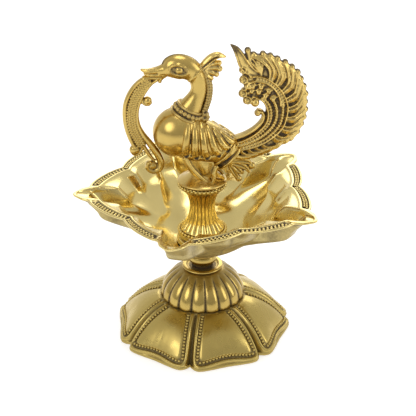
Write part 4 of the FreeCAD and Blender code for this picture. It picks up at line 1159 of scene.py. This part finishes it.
# ------------------------------------------------------------------ bird: tail
TAIL_INNER = [(18.6, 123.6), (24.2, 125.6), (29.6, 128.8), (33.4, 132.9), (34.6, 136.4), (33.5, 139.0),
              (31.0, 139.8)]
RIDGE_IN = [(16.0, 120.6), (22.8, 122.0), (29.1, 125.3), (33.9, 129.6), (36.5, 133.9), (37.0, 138.2),
            (36.0, 142.6), (33.4, 146.3), (29.6, 148.3)]
RIDGE_OUT = [(15.5, 115.8), (21.4, 116.6), (28.2, 117.7), (35.5, 120.6), (42.1, 125.6), (45.8, 130.4),
             (47.6, 136.4), (48.0, 142.0), (46.4, 147.6), (43.7, 152.3), (39.9, 156.4), (35.6, 159.2),
             (30.6, 160.6), (26.0, 160.2)]
SCROLL_ARC = [(24.0, 152.6), (25.4, 156.0), (28.8, 157.8), (33.4, 157.4), (37.8, 155.1), (41.4, 151.2),
              (43.4, 146.8), (43.8, 142.6)]
INNER_PLATE = [(15.4, 118.6), (24.0, 119.6), (33.0, 123.6), (40.6, 130.0), (44.6, 138.4), (43.6, 147.0),
               (38.6, 154.4), (31.0, 158.6), (25.4, 158.6)]
OUTER_PLATE = [(34.0, 164.6), (42.0, 160.6), (48.6, 153.0), (51.4, 143.6), (50.6, 133.6), (46.6, 126.6),
               (38.0, 119.4), (28.0, 114.8)]
TUFT_TIPS = [(28.4, 172.6), (33.5, 173.2), (37.6, 172.0), (41.5, 169.9), (46.0, 168.0), (49.8, 165.2),
             (52.9, 161.8), (55.0, 158.0), (56.8, 153.6), (57.7, 149.0), (57.9, 144.3), (58.2, 139.7),
             (57.2, 135.2), (56.2, 131.0), (54.0, 126.2), (50.4, 122.4)]
STRANDS = [(-0.6, 0.5, 0.68), (-0.2, 0.5, 0.78), (0.2, 0.5, 0.92), (0.6, 0.62, 1.08)]
BUD_BLADES = [(24.6, 170.4), (27.4, 171.2), (30.4, 170.6), (32.8, 168.6)]
FEATHER_TIPS = [(45.6, 120.0), (41.6, 117.6), (37.2, 115.4), (33.0, 113.4), (28.8, 111.8), (24.8, 110.6)]
TOP_LEAF = [(31.6, 160.8), (26.8, 163.4), (23.1, 167.5), (20.9, 172.2), (18.5, 176.4), (15.6, 179.2)]
INNER_BUDS = [((27.5, 163.0), (24.4, 162.8), (22.4, 164.0), 2.1),
              ((28.0, 159.4), (25.0, 158.4), (22.9, 158.3), 2.4),
              ((28.0, 151.4), (25.2, 150.6), (22.6, 150.2), 2.4),
              ((29.0, 148.4), (27.0, 146.6), (25.2, 146.0), 2.5)]
TAIL_WEBS = [
    [(22.0, 168.0), (24.2, 175.2), (27.6, 174.0), (31.4, 171.6), (34.0, 166.0), (33.0, 161.0), (27.0, 160.5)],
    [(22.9, 163.0), (22.2, 158.4), (23.2, 154.6), (22.8, 150.0), (25.4, 146.0), (30.0, 144.6),
     (34.0, 148.0), (33.0, 158.0), (28.0, 163.5)],
]
CLUSTER = [(27.9, 154.6, 1.6), (32.6, 154.1, 1.6), (37.0, 151.2, 1.4), (39.9, 147.2, 1.25),
           (27.4, 151.6, 1.25), (31.4, 151.0, 1.5), (35.2, 148.4, 1.3), (29.6, 145.0, 2.4),
           (25.6, 154.6, 1.9)]


def tuft(root, heading, tip, tip_ball, spacing, depth):
    """A leaf tuft: four strands, each standing prouder than the last, curled over to a ball on the rim."""
    root, tip = np.array(root, float), np.array(tip, float)
    reach = tip - root
    length = np.linalg.norm(reach)
    unit = reach / length
    sideways = np.array([-unit[1], unit[0]])
    bow = -0.24 * length * math.copysign(1, np.dot(sideways, heading))
    cast = Cast()
    for share, thick, high in STRANDS:
        offset = spacing * share
        path = [root + sideways * offset * 0.8,
                root + unit * length * 0.35 + sideways * (bow * 0.9 + offset * 0.9),
                root + unit * length * 0.74 + sideways * (bow * 0.7 + offset),
                tip + sideways * offset * 0.6]
        widths = [0.5 * thick, 0.95 * thick, 1.05 * thick, 0.9 * thick]
        depths = [depth * 0.8 * high, depth * high, depth * high, depth * 0.85 * high]
        cast.join(tube(path, widths, depths, 0.0, 5, 10))
    if tip_ball:
        cast.join(round_ball(tip[0], tip[1], tip_ball, 0, 1.3))
    return cast


def tail_plates():
    """The tail's thin backing, its three raised rails and the webs that join the buds."""
    cast = Cast()
    cast.join(tube(INNER_PLATE, [5.0, 5.2, 6.0, 8.4, 9.2, 9.6, 9.4, 8.4, 4.0], 1.5, 0.0, 7, 20))
    cast.join(tube(OUTER_PLATE, [4.6, 5.4, 5.2, 4.6, 4.2, 3.6, 3.0, 2.4], 1.3, 0.0, 7, 20))
    cast.join(tube([(29.0, 165.0), (30.0, 156.0), (30.5, 148.0)], [6.0, 7.0, 4.6], 1.4, 0.0, 7, 20))
    cast.join(tube(TAIL_INNER, [1.0, 1.15, 1.25, 1.25, 1.15, 1.1, 1.2], [3.2, 3.1, 3.0, 2.9, 2.8, 2.7, 2.8]))
    cast.join(round_ball(31.2, 138.2, 1.9, 0, 1.5))
    cast.join(tube(RIDGE_IN, [0.7, 0.75, 0.75, 0.8, 0.8, 0.8, 0.75, 0.7, 0.6], 3.4))
    cast.join(tube(RIDGE_OUT, [0.75] * 11 + [0.7, 0.65, 0.5], 3.3))
    cast.join(tube(SCROLL_ARC, [0.7, 0.85, 0.95, 0.95, 0.9, 0.8, 0.7, 0.6], 3.2))
    return cast


def tail_bead_rows():
    """Three bead rows between the two ridges, and one above them beside the scroll's arc."""
    cast = Cast()
    inner, outer = curve_through(RIDGE_IN, 8), curve_through(RIDGE_OUT[:9], 8)
    steps = np.linspace(0, 1, 60)
    a, b = [np.column_stack([spread(line[:, k], steps) for k in (0, 1)]) for line in (inner, outer)]
    for share, size in ((0.2, 0.85), (0.5, 1.0), (0.8, 0.85)):
        for x, z in along(a * (1 - share) + b * share, 1.75):
            cast.join(ball_pair(x, z, size, 1.9, 1.2))
    upper = curve_through(RIDGE_OUT[7:13], 6) * 0.52 + curve_through(SCROLL_ARC[::-1][:6], 6) * 0.48
    for x, z in along(upper, 1.7):
        cast.join(ball_pair(x, z, 0.75, 1.9, 1.2))
    return cast


def tail_tufts():
    """Curled tufts round the tail's rim in pairs, the buds' blades, and the plain feathers below."""
    cast = Cast()
    ridge = curve_through(RIDGE_OUT, 10)
    length = line_length(ridge)

    def on_ridge(distance):
        return np.array([np.interp(distance, length, ridge[:, axis]) for axis in (0, 1)])

    def beside_ridge(tip):
        return length[np.argmin(np.hypot(*(ridge - tip).T))]

    beside = [beside_ridge(tip) for tip in TUFT_TIPS]
    for k, tip in enumerate(TUFT_TIPS):
        pair = beside[k // 2 * 2:k // 2 * 2 + 2]
        start = max(0.4 * sum(pair) / len(pair) + 0.6 * beside[k] - (9.0 - 0.15 * k), 2)
        root = on_ridge(start)
        cast.join(tuft(root, on_ridge(start + 1) - root, tip, 1.75 if k % 3 else 2.0, 2.4, 3.3 - 0.02 * k))
    for tip in BUD_BLADES:
        middle = (0.5 * tip[0] + 16.9, 0.5 * tip[1] + 81.2)
        cast.join(tube([(32.8, 161.2), middle, tip], [0.6, 0.95, 0.7], [1.9, 2.5, 1.9]))
    for tip in FEATHER_TIPS:
        start = max(beside_ridge(tip) - 10.5, 0.5)
        root = on_ridge(start)
        cast.join(tuft(root, on_ridge(start + 1) - root, tip, 0.0, 1.9, 2.9))
    return cast


def top_leaf():
    """The pointed leaf at the tail's top with its two borders, and the bud beside it."""
    cast = tube(TOP_LEAF, [1.7, 2.4, 2.8, 2.4, 1.6, 0.3], [1.4, 1.9, 2.2, 2.0, 1.4, 0.4], 0.0, 6, 16)
    half_widths = (1.6, 2.4, 2.7, 2.2, 1.3, 0.1)
    for side in (-1, 1):
        border = [(x + side * half * 0.75, z + side * half * 0.55)
                  for (x, z), half in zip(TOP_LEAF, half_widths)]
        cast.join(tube(border, [0.45, 0.55, 0.6, 0.55, 0.5, 0.25], [1.6, 2.2, 2.6, 2.4, 1.7, 0.5]))
    cast.join(tube([(26.4, 168.6), (25.9, 172.6), (25.2, 175.0)], [1.6, 1.6, 1.5], 1.9))
    cast.join(round_ball(25.1, 175.4, 1.9, 0, 1.1))
    return cast.join(tube([(24.6, 166.0), (26.6, 171.0), (29.6, 171.6), (30.4, 168.6)], 0.7, 2.0))


def tail_buds():
    """Round buds with a volute on each along the tail's inner edge, and the cluster between them."""
    cast = Cast()
    for web in TAIL_WEBS:
        cast.join(plate(np.array(web), 1.2))
    turn = np.radians(np.linspace(100, -190, 9))
    for start, middle, tip, size in INNER_BUDS:
        cast.join(tube([start, middle, tip], [1.3, 1.5, 1.5], 1.9))
        cast.join(round_ball(tip[0], tip[1], size, 0, 0.85))
        shrink = np.linspace(1.0, 0.35, 9) * (size + 0.2)
        volute = np.column_stack([tip[0] + shrink * np.cos(turn), tip[1] + shrink * np.sin(turn)])
        cast.join(tube(volute, 0.55, 2.7))
    for x, z, size in CLUSTER:
        cast.join(ball_pair(x, z, size, 1.7))
        cast.join(tube([(x - size * 1.2, z + size * 0.9), (x + size * 0.2, z + size * 1.5),
                        (x + size * 1.5, z + size * 0.4)], 0.4, 2.5))
    return cast


def build_tail():
    """Tall curled tail, fused from its plates, bead rows, tufts, leaf and buds."""
    cast = tail_plates()
    for part in (tail_bead_rows(), tail_tufts(), top_leaf(), tail_buds()):
        cast.join(part)
    points, edges, blocks = melt(cast, 0.34, 1)
    dark = sunk_parts(points, edges, blocks, 8, 0.22)
    # Painted shade on the thin backing between the raised strands, darker still beyond 25 mm from the tail's
    # middle; the hollows get patina and painted shade.
    web = smoothstep(0.0, 2.5, np.hypot(points[:, 0] - 22, points[:, 2] - 140) - 25.0)
    dark = np.clip(0.9 * dark + (0.35 + 0.45 * web) * smoothstep(1.9, 1.4, abs(points[:, 1])), 0, 1)
    return make_object("tail_casting", Cast().add(points, blocks, dark), cast_brass, "bird", ["tail"])


PLUME_ROOT = (14.6, 108.4)
PLUME_BLADES = [((20.0, 109.6), (26.0, 108.6), (28.4, 105.8), 2.3),
                ((19.0, 107.6), (24.2, 105.4), (27.4, 101.6), 0.0),
                ((18.0, 106.2), (21.8, 102.4), (23.6, 101.4), 0.0),
                ((16.4, 105.4), (19.2, 100.4), (21.0, 97.9), 2.1)]


def build_plume():
    """Small fan of blades under the tail with two balls."""
    cast = Cast()
    for first, middle, tip, size in PLUME_BLADES:
        for shift in (-0.8, 0.8):
            path = [PLUME_ROOT, (first[0] + shift * 0.5, first[1] + shift),
                    (middle[0] + shift * 0.6, middle[1] + shift * 0.8), tip]
            cast.join(tube(path, [0.9, 1.15, 1.1, 0.9], [2.4, 2.4, 2.2, 1.8]))
        if size:
            cast.join(round_ball(tip[0], tip[1], size, 0, 1.15))
    cast.join(tube([(15.0, 108.0), (19.5, 106.4), (23.0, 104.4)], [1.6, 2.6, 1.6], 1.4))
    cast.join(tube([(16.0, 110.6), (21.0, 111.4), (25.4, 110.6), (27.6, 108.6)], [0.9, 0.9, 0.8, 0.6], 2.2))
    return cast_piece("plume_casting", cast, ["lower_plume"], 0.28, 1, 0.13, 5, bird_brass)


# ------------------------------------------------------------------ build every piece
build_skirt()
build_dome()
build_collar()
build_spool()
build_bowl()
build_pillar()
build_plinth()
build_body()
build_necklace()
build_mane()
build_crest()
build_wing("wing_left_casting", "wing_left", -1)
build_wing("wing_right_casting", "wing_right", 1)
build_band()
build_leg("leg_left_casting", "leg_left", -1)
build_leg("leg_right_casting", "leg_right", 1)
build_vine()
build_tail()
build_plume()

slot_material = {"polished_brass": polished_brass, "cast_brass": cast_brass,
                 "plated_steel": bare_steel, "seal": oiled_leather}
for entry in frame["record"]["subparts"]:
    node = frame["nodes"][entry["node"]]
    if not node.hide_render:
        node.data.materials.clear()
        node.data.materials.append(slot_material[entry["material_slot"]])


# ------------------------------------------------------------------ floor, light and camera
def build_stage():
    """Plain pale floor, lit a little from within so that it reads as white paper."""
    bpy.ops.mesh.primitive_plane_add(size=6, location=(0, 0, 0))
    floor = bpy.context.object
    floor.name = "floor"
    paper, _, shader = new_material("pale_floor")
    set_inputs(shader, {"Base Color": (0.62, 0.62, 0.62, 1), "Roughness": 0.7,
                        "Emission Color": (1, 1, 1, 1), "Emission Strength": 0.6})
    floor.data.materials.append(paper)


def area_light(name, place, aim_z, size, power):
    """A soft oval light aimed at the lamp's axis at height aim_z."""
    data = bpy.data.lights.new(name, "AREA")
    data.shape = "ELLIPSE"
    data.size, data.size_y = size
    data.energy = power
    lamp = bpy.data.objects.new(name, data)
    lamp.location = place
    lamp.rotation_euler = (Vector((0, 0, aim_z)) - Vector(place)).to_track_quat("-Z", "Y").to_euler()
    bpy.context.scene.collection.objects.link(lamp)


FRONT_TONE, BACK_TONE, TOP_TONE = 0.48, 0.95, 0.68


def build_lights():
    """Four small soft lights for the glints, and a room that is white behind and dimmer in front; the
    backdrop itself is plain white."""
    area_light("key_softbox", (-0.60, -0.52, 0.62), 0.09, (0.6, 0.6), 1.9)
    area_light("fill_softbox", (0.80, -0.30, 0.42), 0.09, (0.4, 0.65), 1.4)
    area_light("top_softbox", (0.05, 0.05, 0.95), 0.09, (0.5, 0.4), 1.6)
    area_light("back_softbox", (0.2, 0.9, 0.55), 0.08, (0.9, 0.4), 2.0)
    world = bpy.data.worlds.new("studio")
    world.use_nodes = True
    bpy.context.scene.world = world
    tree = world.node_tree
    direction = add_node(tree, "ShaderNodeTexCoord", {}).outputs["Generated"]
    split = add_node(tree, "ShaderNodeSeparateXYZ", {"Vector": direction})
    sides = add_node(tree, "ShaderNodeMapRange", {"Value": split.outputs["Y"], "From Min": -0.5,
                                                  "From Max": 0.8, "To Min": FRONT_TONE,
                                                  "To Max": BACK_TONE})
    dome = add_node(tree, "ShaderNodeMix", {"Factor": split.outputs["Z"], "A": sides.outputs["Result"],
                                            "B": TOP_TONE})
    camera_ray = add_node(tree, "ShaderNodeLightPath", {}).outputs["Is Camera Ray"]
    seen = add_node(tree, "ShaderNodeMix", {"Factor": camera_ray, "A": dome.outputs["Result"], "B": 1.0})
    set_inputs(tree.nodes["Background"], {"Color": seen.outputs["Result"], "Strength": 1.0})


def build_camera():
    """Looks down at the lamp from a little to its left, with a long lens."""
    azimuth, elevation, distance = math.radians(-4.4), math.radians(27.3), 0.714
    aim = Vector((0.0033, -0.00025, 0.0792))
    back = Vector((math.sin(azimuth) * math.cos(elevation), -math.cos(azimuth) * math.cos(elevation),
                   math.sin(elevation)))
    data = bpy.data.cameras.new("camera")
    data.sensor_width = 36.0
    data.lens = 106.2
    camera = bpy.data.objects.new("camera", data)
    camera.location = aim + back * distance
    camera.rotation_euler = (-back).to_track_quat("-Z", "Y").to_euler()
    bpy.context.scene.collection.objects.link(camera)
    bpy.context.scene.camera = camera


build_stage()
build_lights()
build_camera()
bpy.context.scene.view_settings.view_transform = "Standard"
